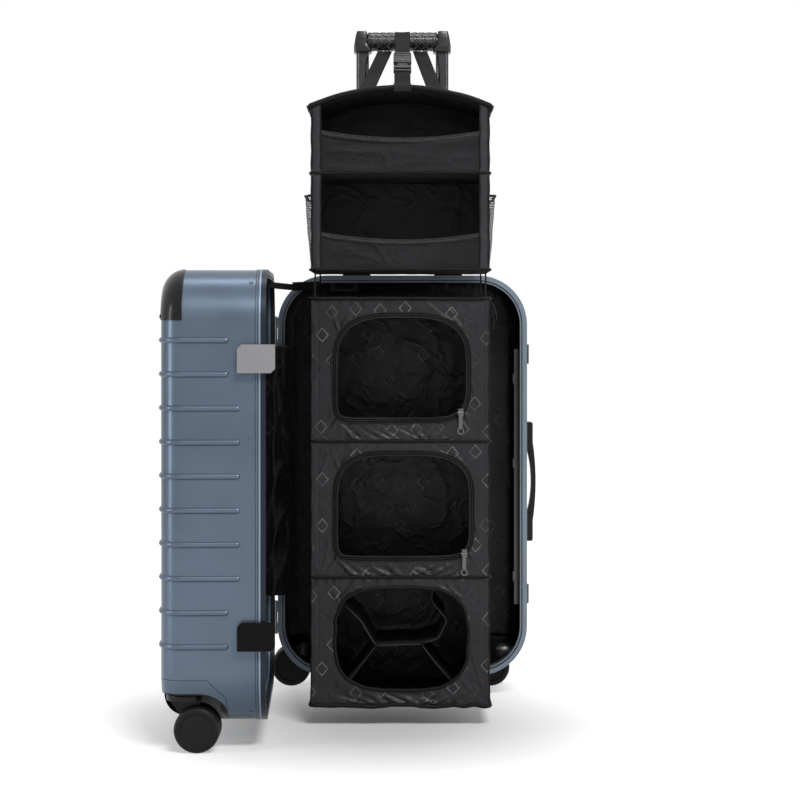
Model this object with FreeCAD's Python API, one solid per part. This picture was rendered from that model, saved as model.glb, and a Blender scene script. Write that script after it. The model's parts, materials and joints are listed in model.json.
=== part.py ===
"""Hard-shell wardrobe trunk on four casters, standing open with its shelf closet hung from the handle.

Millimetres, +Z up. The origin is on the floor, under the middle of the rear half's rim plane.
The rear half (the case) opens towards -Y. The lid is modelled closed on it, as its mirror image in
the rim plane, and every lid piece is then swung about the hinge line by LID_OPEN_DEG.
"""
import FreeCAD, Part
import math
import os

# Case and lid
CASE_WIDTH = 374.0  # over the rim frames
CASE_HEIGHT = 600.0
HALF_DEPTH = 138.0  # rim plane to outer face
FLOOR_GAP = 33.0  # floor to the underside of the shells
CORNER_R = 74.0  # corners of the rim outline
EDGE_R = 30.0  # edge between side walls and outer face
WALL = 2.5
LID_OPEN_DEG = 88.0

# Clearances
SEAT_GAP = 0.1  # between pieces fixed to each other along curved faces
RUN_GAP = 0.3  # between pieces that move on each other
PIN_GAP = 0.06  # round a hinge pin or an axle

# Rim frame, measured inwards from the outline and back from the rim plane
FRAME_PROUD = 1.0
FRAME_DEPTH = 14.0
FRAME_FACE = 10.6
FACE_THICK = 2.2
LEG_THICK = 1.8
GROOVE_IN = 6.8
GROOVE_WIDTH = 1.8
GROOVE_DEPTH = 1.7
GASKET_WIDTH = 1.2
GASKET_PROUD = 0.9
RIVET_R = 2.6
RIVET_HEIGHT = 1.0
RIVET_DEPTH = 20.0
RIVET_CORNER_DEG = 50.0
RIVET_SIDE = 81.0  # rivet on a side wall, above the middle

# Ribs
RIB_R = 4.0
RIB_SINK = 1.0  # rib centreline below the surface
RIB_COUNT = 10
RIB_FOOT = 107.8  # lowest rib above the shell's foot
RIB_HEAD = 94.04  # highest rib below its top
RIB_SHORT = 86.0  # reach on the side wall, from the outer face
RIB_LONG = 101.0
RIB_STUB = 31.0  # where the side handle takes the wall

# Corner fittings
GUARD_PROUD = 1.4
GUARD_REACH = 68.0
GUARD_BAND = 29.0
SCREW_TILTS = (18.0, 78.0)  # degrees round the rounded edge, from the side wall
SCREW_TURN = 13.0  # degrees round the corner, from the side
CASTER_INSET_X = 33.0  # caster axis from the side wall
CASTER_INSET_Y = 30.0  # and from the outer face
WELL_ROOM = 8.0  # round the wheels as they swivel, and between them and the fork's head
WELL_EDGE_R = 25.0
WELL_WALL = 2.0
BUSH_WALL = 4.0
PANEL_RISE = 20.0  # panel's top edge above the well's
PANEL_FLAT = 61.0  # length of the panel's level top edge
PANEL_SLOPE = (86.0, 72.0)  # foot of its sloping edge: reach and height
PANEL_REACH = 90.0
PANEL_GAP = 0.6

# Casters
WHEEL_R = 30.0
WHEEL_WIDTH = 17.0
TRAIL = 18.0
TREAD_R = 5.0
BLADE = 8.0
BLADE_BOSS = 9.0
HEAD_R = 23.0
HEAD_THICK = 9.0
HEAD_EDGE_R = 3.0
STEM_R = 5.0
STEM_LENGTH = 12.0
AXLE_R = 3.0
AXLE_SHORT = 4.0  # axle's end from the wheel's face
HUB_R = 21.0
HUB_RECESS = 1.2
HUB_WALL = 3.5  # closed end of the wheel's bore

# Linings
LINING = 1.2
CASE_LINING_SPACE = 42.0  # behind the lining: the tubes in the case, little in the lid
LID_LINING_SPACE = 6.0
LINING_EDGE_R = 24.0

# Hinges, on a line beside the left rim
HINGE_OUT = 3.6  # hinge line outside the rim outline
KNUCKLE_R = 3.2
HINGE_PIN_R = 1.5
LEAF = 1.7
LEAF_BACK = 0.6  # leaf's edge behind the rim plane
KNUCKLE = 16.0
PIN_HEAD = 1.5
PIN_HEAD_R = 2.6
HINGE_INSET = 87.0  # outer hinges from the shell's foot and top

# Latches, on the right side of the lid
LATCH_INSETS = (118.0, 122.0)  # upper one below the shell's top, lower one above its foot
LATCH_WIDTH = 49.0
LATCH_TALL = 37.0
LATCH_OVERHANG = 12.3
LATCH_PLATE = 4.0
LATCH_BASE = 5.0
LATCH_CHAMFER = 5.5
LATCH_PIN_R = 1.3
LATCH_BOSS_R = 2.5
LATCH_TAIL = 3.0  # plate beyond the pin
LATCH_EAR = 5.0
LATCH_LAND = 1.0  # seat and lip short of the cover plate's ends
CATCH_PLATE = 0.9
CATCH_EDGES = (2.0, 0.5)  # plate's edges from the rim plane and from the frame's back
CATCH_SHORT = 4.0  # plate's ends inside the lever's
CATCH_RIDGE = 3.0
CATCH_RIDGE_WIDTH = 2.2
CATCH_LIP = 2.5

# Carry handles
CARRY_LENGTH = 181.0
CARRY_MOUNT = 42.0
CARRY_WIDTH = 24.0
CARRY_MOUNT_HEIGHT = 13.0
CARRY_GRIP = 7.0
CARRY_RISE = 17.5
CARRY_SLOT = 4.0
CARRY_FLOOR = 4.0  # mount's floor, side walls and end wall round the grip's end
CARRY_SIDE = 4.0
CARRY_END = 9.0
CARRY_CHAMFER = 2.0
SIDE_HANDLE = (58.0, -13.0)  # centre on the right wall: Y, and Z from the middle
TOP_HANDLE = (0.0, 46.0)  # centre on the top wall: X, Y
BACKING_FRONT = 40.0
BACKING_WIDTH = 30.0
BACKING_THICK = 11.7
BACKING_ENDS = (-199.0, 189.0)  # lowest and highest Z, from the middle
BACKING_CLAMPS = (-156.0, 16.0, 144.0)
BACKING_CLAMP = (2.0, 1.5, 14.0)  # how far it stands in from the bar and past its edges, and its length

# Telescopic handle
TUBE_X = 62.0
TUBE_INSET = 21.0  # tubes' centres from the outer face
TUBE_WIDTH = 20.0
TUBE_DEPTH = 14.0
TUBE_WALL = 1.2
GUIDE_ABOVE_WELL = 6.0
GUIDE_BRACKET = 12.0  # from the tubes' centres forwards
GUIDE_BRACKET_END = 18.0  # and beyond them sideways
GUIDE_BRACKET_THICK = 3.0
STAGE_IN_GUIDE = 46.0  # tubes' overlaps at full height
STAGE_OUT = 172.0
UPPER_IN_STAGE = 53.0
GRIP_Z = 1001.0
GRIP_R = 14.0
GRIP_WIDTH = 150.0
CAP_WIDTH = 24.5
CAP_HEIGHT = 35.0
CAP_DEPTH = 31.0
CAP_SOCKET = 9.0
CAP_EDGE_R = 8.0
PEG_R = 8.0  # grip's pegs in its caps
PEG = 4.5
BUTTON = (30.0, 12.0, 5.0)
BUTTON_TRAVEL = 2.5
BEZEL = (192.0, 39.0)
BEZEL_R = 8.0
BEZEL_DEPTH = 27.0
BEZEL_PROUD = 1.2
BEZEL_POCKET = 9.0
BEZEL_MARGIN = (3.0, 1.0)  # pocket round the grip, across and to front and back

# Closet
CLOSET_X = -3.0
CLOSET_WIDTH = 250.0
CLOSET_FRONT = -200.0
CLOSET_DEPTH = 178.0
BOARD = 3.0
BOARD_R = 10.0
CLOTH = 1.6
ROOF_EDGE = 861.0
ROOF_RISE = 28.0
ROOF_OVERHANG = 5.0
SHELF_TOPS = {"upper_shelf": 772.5, "closet_base": 637.5}
TIER_TOPS = {"tier_top": 597.0, "tier_shelf_1": 398.3, "tier_shelf_2": 208.8, "tier_floor": 30.0}
BAND = 14.0  # front bands of the open compartments
POCKET_HEIGHTS = (59.0, 52.0)  # mesh pockets at their sides
POCKET_DIP = 12.0
MESH = 1.0
SIDE_POCKET = (726.0, 648.0, 9.0, 25.0)  # top, foot, how far it stands out, and its ends from front and back
OPENINGS = ((35.0, 31.0, 29.2, 23.0), (35.5, 26.5, 26.2, 16.8), (35.0, 31.0, 20.0, 12.8))  # from each tier's left, right, foot and top
OPENING_R = 44.0
CORD_R = 1.2
CORD_INSET = 6.0
ZIPS = {"zip_1": (10.0, 9.5), "zip_2": (9.5, 6.0)}  # slider centres, in from an opening's right edge and up from its foot
SLIDER = (8.0, 4.5, 11.0)
SLIDER_PIN_R = 0.8
SLIDER_STAND = 2.0  # pin in front of the slider's face
SLIDER_CHAMFER = 1.2
SLIDER_EAR = (1.4, 4.0)  # width and height
SLIDER_EAR_REACH = 3.6  # ears' middles from the slider's
SLIDER_EAR_COVER = 1.3  # ear in front of the pin
PULL = (5.0, 1.4, 26.0)
PULL_RING_R = 4.6
PULL_RING = 1.4

# Straps
STRAP_WIDTH = 25.0
STRAP = 1.5
STRAP_SPREAD = (27.0, 60.0)  # diagonal straps: X at the grip and X at the roof
STRAP_SEWN = 30.0  # length of their ends that lies on the roof
STAY_DROP = 21.0  # below the shell's top
STAY_WIDTH = 9.0
STAY = 1.2
STAY_SLEEVE = (120.0, 22.0, 4.0, 3.0)  # from the lid's end and the case's, how much wider, and its thickness
STAY_TAB = 12.0
STAY_ENDS = ((-25.0, -180.0), (75.0, 26.0))  # in the lid and in the case: X from the case's left side, and Y
COVER = 1.0  # fabric over the hinges: thickness, depth of its seams in the halves, lowest and highest Z
COVER_SEAT = 46.0
COVER_ENDS = (122.0, 103.0)  # from the shell's foot and top
COVER_BULGE = ((14.7, -18.0), (17.7, 12.0), (11.7, 36.0))  # bends beside the case's wall: X from it, and Y
COVER_OUT = (22.0, 29.0)  # bends beside the hinge
BUCKLE_MARGIN = 2.5  # buckle's side beyond the strap
BUCKLE_THICK = 8.0
BUCKLE_LENGTH = 44.0
BUCKLE_SOCKET = 27.3
BUCKLE_WALL = 1.6
BUCKLE_CHAMFERS = (2.0, 1.5)
BUCKLE_SLOT = 4.0
BUCKLE_WINDOW = (11.0, 5.0)  # side windows from the socket's foot and head
BUCKLE_HOLLOW = 8.0
BUCKLE_ARM = (5.0, 9.0)  # arm's sides from the middle
BUCKLE_BARB = (12.0, 21.0)  # foot and head of the arm's barb
BUCKLE_FROM_GRIP = 26.0
BRACKETS = (99.0, 103.0)  # middles from the case's left and right sides
BRACKET = (40.0, 26.0, 1.5, 18.0)  # width, depth, thickness and drop
BRACKET_SLOT = (28.0, 6.0, 14.0)  # width, and its top and foot below the bracket's top
BRACKET_BACK = 4.0  # behind the rim frame

# Worked out from the sizes above
HALF_W = CASE_WIDTH / 2
HALF_H = CASE_HEIGHT / 2
MID_Z = FLOOR_GAP + HALF_H
TOP_Z = FLOOR_GAP + CASE_HEIGHT
SKIN = FRAME_PROUD  # the shell's skin lies this far inside the outline
INSIDE = SKIN + WALL
HINGE_X = -HALF_W - HINGE_OUT
HINGE_HEIGHTS = (FLOOR_GAP + HINGE_INSET, MID_Z, TOP_Z - HINGE_INSET)
LATCH_HEIGHTS = (TOP_Z - LATCH_INSETS[0], FLOOR_GAP + LATCH_INSETS[1])
RIB_FIRST_Z = FLOOR_GAP + RIB_FOOT
RIB_PITCH = (CASE_HEIGHT - RIB_FOOT - RIB_HEAD) / (RIB_COUNT - 1)
WELL_TOP = 2 * WHEEL_R + WELL_ROOM + HEAD_THICK
WELL_R = TRAIL + WHEEL_R + WELL_ROOM
PANEL_TOP = WELL_TOP + PANEL_RISE
TUBE_Y = HALF_DEPTH - TUBE_INSET
GUIDE_FOOT = WELL_TOP + WELL_WALL + GUIDE_ABOVE_WELL
BEZEL_FOOT = TOP_Z - BEZEL_DEPTH
STAGE_FOOT = BEZEL_FOOT - STAGE_IN_GUIDE
STAGE_HEAD = TOP_Z + STAGE_OUT
UPPER_FOOT = STAGE_HEAD - UPPER_IN_STAGE
WALL_LINED = INSIDE + RUN_GAP + LINING + RUN_GAP  # clear of the lining, from the outline
STAY_Z = TOP_Z - STAY_DROP
BUCKLE_WIDTH = STRAP_WIDTH + 2 * BUCKLE_MARGIN
CLOSET_BACK = CLOSET_FRONT + CLOSET_DEPTH
CLOSET_LEFT = CLOSET_X - CLOSET_WIDTH / 2
CLOSET_RIGHT = CLOSET_X + CLOSET_WIDTH / 2
CASTER_X = HALF_W - CASTER_INSET_X
CASTER_Y = HALF_DEPTH - CASTER_INSET_Y
FAR = 1000.0  # longer than any piece


def vec(x, y, z):
    return FreeCAD.Vector(x, y, z)


def save(name, *solids):
    """Write one sub-part: a solid, or a group of solids, in its own file."""
    shape = solids[0] if len(solids) == 1 else Part.makeCompound(list(solids))
    shape.exportStep(f"parts/{name}.step")


def box(x, y, z):
    """A box between pairs of limits."""
    return Part.makeBox(x[1] - x[0], y[1] - y[0], z[1] - z[0], vec(x[0], y[0], z[0]))


def rod(start, end, radius):
    along = end - start
    return Part.makeCylinder(radius, along.Length, start, along)


def prism(points, along):
    """A straight prism on a closed outline of points."""
    return Part.Face(Part.makePolygon(points + points[:1])).extrude(along)


def mirrored_x(shape):
    return shape.mirror(vec(0, 0, 0), vec(1, 0, 0))


def mirrored_y(shape):
    return shape.mirror(vec(0, 0, 0), vec(0, 1, 0))


def swung(shape, degrees):
    """A closed-lid shape turned about the hinge line."""
    turned = shape.copy()
    turned.rotate(vec(HINGE_X, 0, 0), vec(0, 0, 1), -degrees)
    return turned


def on_lid(shape):
    """A shape built on the case, mirrored to the lid and swung open with it."""
    return swung(mirrored_y(shape), LID_OPEN_DEG)


def rounded_wire(width, height, radius, place):
    """A rounded rectangle; place maps (across, up) to a point."""
    w, h = width / 2, height / 2
    diagonal = radius * (1 - math.sqrt(0.5))
    edges = []
    for i, (sx, sz) in enumerate(((1, -1), (1, 1), (-1, 1), (-1, -1))):
        enter, leave = (sx * (w - radius), sz * h), (sx * w, sz * (h - radius))
        middle = (sx * (w - diagonal), sz * (h - diagonal))
        ends = (enter, leave) if i % 2 == 0 else (leave, enter)
        edges.append(Part.Arc(place(*ends[0]), place(*middle), place(*ends[1])).toShape())
    corners = [(e.Vertexes[0].Point, e.Vertexes[-1].Point) for e in edges]
    joined = []
    for i, edge in enumerate(edges):
        joined.append(edge)
        start, end = corners[i][1], corners[(i + 1) % 4][0]
        if (end - start).Length > 1e-6:
            joined.append(Part.LineSegment(start, end).toShape())
    return Part.Wire(Part.__sortEdges__(joined))


def outline(inset, y):
    """The rim outline, shrunk by inset, at depth y."""
    return rounded_wire(
        CASE_WIDTH - 2 * inset, CASE_HEIGHT - 2 * inset, CORNER_R - inset,
        lambda a, b: vec(a, y, MID_Z + b),
    )


def slab(inset, y0, y1):
    return Part.Face(outline(inset, y0)).extrude(vec(0, y1 - y0, 0))


def ring(outer, inner, y0, y1):
    return slab(outer, y0, y1).cut(slab(inner, y0 - 1, y1 + 1))


def tub(inset, y0, depth, edge_r):
    """The solid body of a half, with its outer edge rounded."""
    body = slab(inset, y0, depth)
    edges = [e for e in body.Edges if all(abs(v.Y - depth) < 1e-6 for v in e.Vertexes)]
    return body.makeFillet(edge_r, edges)


def skin_body(grow=0.0):
    """The outside of the shell, grown outwards."""
    return tub(SKIN - grow, FACE_THICK + SEAT_GAP, HALF_DEPTH + grow, EDGE_R + grow)


# ---------------------------------------------------------------- shells


def rib_path(z, right, left):
    """A line just under the skin: along a side wall, round the edge, across the face and back."""
    w = HALF_W - SKIN - RIB_SINK
    deep = HALF_DEPTH - RIB_SINK
    r = EDGE_R - RIB_SINK
    diagonal = r * (1 - math.sqrt(0.5))
    turn = deep - r
    points = [vec(w, HALF_DEPTH - right, z), vec(w, turn, z), vec(w - r, deep, z)]
    points += [vec(r - w, deep, z), vec(-w, turn, z), vec(-w, HALF_DEPTH - left, z)]
    edges = [
        Part.LineSegment(points[0], points[1]).toShape(),
        Part.Arc(points[1], vec(w - diagonal, deep - diagonal, z), points[2]).toShape(),
        Part.LineSegment(points[2], points[3]).toShape(),
        Part.Arc(points[3], vec(diagonal - w, deep - diagonal, z), points[4]).toShape(),
        Part.LineSegment(points[4], points[5]).toShape(),
    ]
    return Part.Wire(edges), points


def rib(z, right, left):
    """A half-round bead with bullet ends."""
    path, points = rib_path(z, right, left)
    section = Part.Wire(Part.makeCircle(RIB_R, points[0], vec(0, 1, 0)))
    bead = path.makePipeShell([section], True, False)
    ends = [Part.makeSphere(RIB_R, points[0]), Part.makeSphere(RIB_R, points[-1])]
    return bead.multiFuse(ends)


def ribs(handle_side):
    """All beads of one half. Those behind a carry handle stop at the edge of its wall."""
    beads = []
    for i in range(RIB_COUNT):
        z = RIB_FIRST_Z + i * RIB_PITCH
        reach = RIB_SHORT if min(i, RIB_COUNT - 1 - i) < 2 else RIB_LONG
        hidden = handle_side and abs(z - MID_Z - SIDE_HANDLE[1]) < CARRY_LENGTH / 2 + 2 * RIB_R
        beads.append(rib(z, RIB_STUB if hidden else reach, reach))
    return beads


def well(grow):
    """The domed space that a caster turns in, grown outwards."""
    r = WELL_R + grow
    dome = Part.makeCylinder(r, WELL_TOP + grow, vec(CASTER_X, CASTER_Y, 0))
    return dome.makeFillet(WELL_EDGE_R + grow, [e for e in dome.Edges if e.Closed and e.Vertexes[0].Z > 1])


def both_sides(shape):
    return [shape, mirrored_x(shape)]


def panel_profile(place, grow):
    """The side view of a wheel panel: level top, slope, then down past the underside."""
    slope_reach, slope_z = PANEL_SLOPE
    points = [(-FAR, PANEL_TOP + grow), (PANEL_FLAT + grow / 2, PANEL_TOP + grow)]
    points += [(slope_reach + grow, slope_z + grow / 2), (PANEL_REACH + grow, 0), (-FAR, 0)]
    return [place(a, b) for a, b in points]


def panel_region(grow):
    """The corner of the shell that is a separate wheel panel."""
    side = prism(panel_profile(lambda a, b: vec(0, HALF_DEPTH - a, b), grow), vec(FAR, 0, 0))
    face = prism(panel_profile(lambda a, b: vec(HALF_W - a, 0, b), grow), vec(0, FAR, 0))
    return side.common(face)


def half_shell(handle_side):
    """The ribbed shell of one half without its wheel corners, and those two wheel panels."""
    body = skin_body().multiFuse(ribs(handle_side))
    hollow = tub(INSIDE, -1, HALF_DEPTH - WALL, EDGE_R - WALL)
    shell = body.cut(hollow)
    for cut in both_sides(well(WELL_WALL + SEAT_GAP)):
        shell = shell.cut(cut)
    panels = [shell.common(region) for region in both_sides(panel_region(0))]
    for region in both_sides(panel_region(PANEL_GAP)):
        shell = shell.cut(region)
    return shell.removeSplitter(), panels


def bezel_footprint(grow):
    wire = rounded_wire(
        BEZEL[0] + 2 * grow, BEZEL[1] + 2 * grow, BEZEL_R + grow, lambda a, b: vec(a, TUBE_Y + b, BEZEL_FOOT)
    )
    return Part.Face(wire).extrude(vec(0, 0, 2 * BEZEL_DEPTH))


def rim_frame():
    frame = ring(0, FRAME_PROUD - SEAT_GAP, RUN_GAP / 2, FRAME_DEPTH)
    frame = frame.fuse(ring(0, FRAME_FACE, RUN_GAP / 2, FACE_THICK))
    frame = frame.fuse(ring(FRAME_FACE - LEG_THICK, FRAME_FACE, RUN_GAP / 2, FRAME_DEPTH - 2))
    groove = ring(GROOVE_IN, GROOVE_IN + GROOVE_WIDTH, -1, RUN_GAP / 2 + GROOVE_DEPTH)
    return frame.cut(groove).removeSplitter()


def rim_gasket():
    side_gap = (GROOVE_WIDTH - GASKET_WIDTH) / 2
    outer = GROOVE_IN + side_gap
    foot = RUN_GAP / 2 + GROOVE_DEPTH - SEAT_GAP
    return ring(outer, outer + GASKET_WIDTH, -GASKET_PROUD, foot)


def rivet(point, outward):
    dome = rod(point, point + outward * RIVET_HEIGHT, RIVET_R)
    edges = [e for e in dome.Edges if e.Closed and (e.Curve.Center - point).dot(outward) > 0.1]
    return dome.makeFillet(RIVET_HEIGHT * 0.7, edges)


def rivets():
    """Rivets behind the frame: one high on each side wall and one on each corner."""
    made = []
    angle = math.radians(RIVET_CORNER_DEG)
    out = HALF_W - SKIN
    for sx in (1, -1):
        made.append(rivet(vec(sx * (out + SEAT_GAP), RIVET_DEPTH, MID_Z + RIVET_SIDE), vec(sx, 0, 0)))
        for sz in (1, -1):
            outward = vec(sx * math.cos(angle), 0, sz * math.sin(angle))
            centre = vec(sx * (HALF_W - CORNER_R), RIVET_DEPTH, MID_Z + sz * (HALF_H - CORNER_R))
            made.append(rivet(centre + outward * (CORNER_R - SKIN + SEAT_GAP), outward))
    return made


def corner_guards():
    """Black guards round the two top outer corners, each with two screws on the rounded edge."""
    cover = skin_body(GUARD_PROUD).cut(skin_body(SEAT_GAP))
    cover = cover.cut(slab(SKIN + EDGE_R, -1, FAR))
    reach = box((HALF_W - GUARD_REACH, FAR), (HALF_DEPTH - GUARD_BAND, FAR), (TOP_Z - GUARD_REACH, FAR))
    guard = cover.common(reach)
    turn = math.radians(SCREW_TURN)
    corner = vec(math.cos(turn), 0, math.sin(turn))
    edge_centre = vec(HALF_W - CORNER_R, HALF_DEPTH - EDGE_R, TOP_Z - CORNER_R) + corner * (CORNER_R - SKIN - EDGE_R)
    screws = []
    for tilt in SCREW_TILTS:
        outward = corner * math.cos(math.radians(tilt)) + vec(0, math.sin(math.radians(tilt)), 0)
        screws += both_sides(rivet(edge_centre + outward * (EDGE_R + GUARD_PROUD + SEAT_GAP), outward))
    return both_sides(guard) + screws


def wheel_wells():
    """Black domes over the casters, trimmed to the shell, each with a bush for the caster's stem."""
    dome = well(WELL_WALL).cut(well(0)).common(skin_body(-SEAT_GAP))
    seat = vec(CASTER_X, CASTER_Y, WELL_TOP)
    bush = rod(seat, seat + vec(0, 0, STEM_LENGTH + WELL_WALL), STEM_R + BUSH_WALL)
    bore = rod(seat - vec(0, 0, 2), seat + vec(0, 0, STEM_LENGTH), STEM_R + PIN_GAP)
    return both_sides(dome.fuse(bush).cut(bore).removeSplitter())


def lining(space):
    """The fabric-covered inner skin, cut round the wheel wells."""
    outer, depth = INSIDE + RUN_GAP, HALF_DEPTH - space
    skin = tub(outer, FRAME_DEPTH, depth, LINING_EDGE_R)
    skin = skin.cut(tub(outer + LINING, FRAME_DEPTH - 1, depth - LINING, LINING_EDGE_R - LINING))
    for cut in both_sides(well(WELL_WALL + RUN_GAP)):
        skin = skin.cut(cut)
    bush = rod(vec(CASTER_X, CASTER_Y, 0), vec(CASTER_X, CASTER_Y, 2 * WELL_TOP), STEM_R + BUSH_WALL + 2)
    for cut in both_sides(bush):
        skin = skin.cut(cut)
    return skin


# ---------------------------------------------------------------- casters


def hull_blade(height):
    """The fork's web between the wheels: from under the head down round the axle."""
    boss = BLADE_BOSS
    top = WELL_TOP - HEAD_THICK
    points = [(-HEAD_R + 3, top), (HEAD_R - 3, top), (TRAIL + boss, height), (TRAIL + boss / 2, height - boss)]
    points += [(TRAIL - boss / 2, height - boss), (TRAIL - boss, height - 2)]
    return prism([vec(x, -BLADE / 2, z) for x, z in points], vec(0, BLADE, 0))


def caster_fork():
    """Swivel head with its stem, web and axle; the wheels trail towards +X."""
    top = WELL_TOP - RUN_GAP
    head = Part.makeCylinder(HEAD_R, HEAD_THICK, vec(0, 0, top - HEAD_THICK))
    rim_edge = [e for e in head.Edges if e.Closed and e.Vertexes[0].Z > top - 1]
    head = head.makeFillet(HEAD_EDGE_R, rim_edge)
    stem = rod(vec(0, 0, top - 1), vec(0, 0, top + STEM_LENGTH - 1), STEM_R)
    half = BLADE / 2 + RUN_GAP + WHEEL_WIDTH
    reach = half - AXLE_SHORT
    axle = rod(vec(TRAIL, -reach, WHEEL_R), vec(TRAIL, reach, WHEEL_R), AXLE_R)
    return head.multiFuse([stem, hull_blade(WHEEL_R), axle]).removeSplitter()


def wheel(side):
    """One wheel: rounded tread, dished hub with a raised cap, and a blind axle bore."""
    inner = BLADE / 2 + RUN_GAP
    w = WHEEL_WIDTH
    shoulder = TREAD_R
    flat = WHEEL_R - shoulder
    bulge = shoulder * math.sqrt(0.5)

    def at(along, r):
        return vec(TRAIL, side * (inner + along), WHEEL_R + r)

    edges = [
        Part.LineSegment(at(0, 0), at(0, flat)).toShape(),
        Part.Arc(at(0, flat), at(shoulder - bulge, flat + bulge), at(shoulder, WHEEL_R)).toShape(),
        Part.LineSegment(at(shoulder, WHEEL_R), at(w - shoulder, WHEEL_R)).toShape(),
        Part.Arc(at(w - shoulder, WHEEL_R), at(w - shoulder + bulge, flat + bulge), at(w, flat)).toShape(),
        Part.LineSegment(at(w, flat), at(w, HUB_R + 1)).toShape(),
        Part.LineSegment(at(w, HUB_R + 1), at(w - HUB_RECESS, HUB_R)).toShape(),
        Part.LineSegment(at(w - HUB_RECESS, HUB_R), at(w - HUB_RECESS, 0)).toShape(),
        Part.LineSegment(at(w - HUB_RECESS, 0), at(0, 0)).toShape(),
    ]
    disc = Part.Face(Part.Wire(edges)).revolve(at(0, 0), vec(0, 1, 0), 360)
    bore = rod(at(-1, 0), at(w - HUB_WALL, 0), AXLE_R + PIN_GAP)
    return disc.cut(bore)


def caster(name, x, y, turned):
    """A fork and its pair of wheels; turned is the way the wheels trail, in degrees from +X."""
    place = FreeCAD.Placement(vec(x, y, 0), FreeCAD.Rotation(vec(0, 0, 1), turned))
    pieces = [caster_fork(), wheel(1), wheel(-1)]
    for piece in pieces:
        piece.Placement = place.multiply(piece.Placement)
    save(f"caster_fork_{name}", pieces[0])
    save(f"caster_wheels_{name}", pieces[1], pieces[2])


def on_lid_point(x, y):
    """Where a point of the closed lid lies when the lid is open."""
    angle = math.radians(-LID_OPEN_DEG)
    dx, dy = x - HINGE_X, y
    turned_x = dx * math.cos(angle) - dy * math.sin(angle)
    turned_y = dx * math.sin(angle) + dy * math.cos(angle)
    return HINGE_X + turned_x, turned_y


# ---------------------------------------------------------------- hinges and latches


def hinge_leaf(z, length, side):
    """A leaf on the frame with its knuckle; side is 1 on the case and -1 on the lid."""
    surface = -HALF_W - SEAT_GAP
    plate = box((surface - LEAF, surface), (LEAF_BACK, FRAME_DEPTH - 1), (z, z + length))
    if side < 0:
        plate = mirrored_y(plate)
    knuckle = rod(vec(HINGE_X, 0, z), vec(HINGE_X, 0, z + length), KNUCKLE_R)
    bore = rod(vec(HINGE_X, 0, z - 1), vec(HINGE_X, 0, z + length + 1), HINGE_PIN_R + PIN_GAP)
    return plate.fuse(knuckle).cut(bore)


def hinges():
    """Three hinges: two case knuckles, a lid knuckle between them, and a headed pin."""
    case_side, lid_side, pins = [], [], []
    for z in HINGE_HEIGHTS:
        half = KNUCKLE / 2
        case_side.append(hinge_leaf(z - half - RUN_GAP - KNUCKLE, KNUCKLE, 1))
        case_side.append(hinge_leaf(z + half + RUN_GAP, KNUCKLE, 1))
        lid_side.append(hinge_leaf(z - half, KNUCKLE, -1))
        end = 1.5 * KNUCKLE + RUN_GAP
        pin = rod(vec(HINGE_X, 0, z - end), vec(HINGE_X, 0, z + end), HINGE_PIN_R)
        head = rod(vec(HINGE_X, 0, z + end + SEAT_GAP), vec(HINGE_X, 0, z + end + PIN_HEAD), PIN_HEAD_R)
        shank = rod(vec(HINGE_X, 0, z + end - 1), vec(HINGE_X, 0, z + end + 1), HINGE_PIN_R)
        pins.append(pin.multiFuse([head, shank]).removeSplitter())
    save("case_hinge_leaves", *case_side, *pins)
    save("lid_hinge_leaves", *[swung(leaf, LID_OPEN_DEG) for leaf in lid_side])


def latch_pin_place():
    """The lever's pin on the closed lid: X and Y."""
    return HALF_W + SEAT_GAP + LATCH_BASE - LATCH_BOSS_R, LATCH_OVERHANG - LATCH_WIDTH + LATCH_TAIL


def latch_lever(z):
    """The latch's cover plate, chamfered at two corners, with a hooked lip and a boss on the pin."""
    pin_x, pin_y = latch_pin_place()
    x0 = pin_x + LATCH_BOSS_R + RUN_GAP
    far = LATCH_OVERHANG - LATCH_WIDTH
    low, high = z - LATCH_TALL / 2, z + LATCH_TALL / 2
    c = LATCH_CHAMFER
    points = [(far + c, high), (LATCH_OVERHANG, high), (LATCH_OVERHANG, low + c)]
    points += [(LATCH_OVERHANG - c, low), (far, low), (far, high - c)]
    plate = prism([vec(x0, y, h) for y, h in points], vec(LATCH_PLATE, 0, 0))
    lip_y = (LATCH_OVERHANG - CATCH_LIP, LATCH_OVERHANG)
    lip = box((HALF_W + SEAT_GAP + CATCH_PLATE + RUN_GAP, x0 + 1), lip_y, (low + c + LATCH_LAND, high - LATCH_LAND))
    between = (low + LATCH_EAR + RUN_GAP, high - c - LATCH_EAR - RUN_GAP)
    boss = rod(vec(pin_x, pin_y, between[0]), vec(pin_x, pin_y, between[1]), LATCH_BOSS_R)
    arm = box((pin_x, x0 + 1), (pin_y - LATCH_BOSS_R, pin_y + LATCH_BOSS_R), between)
    bore = rod(vec(pin_x, pin_y, low - 1), vec(pin_x, pin_y, high + 1), LATCH_PIN_R + PIN_GAP)
    return plate.multiFuse([lip, boss, arm]).cut(bore).removeSplitter()


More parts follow.
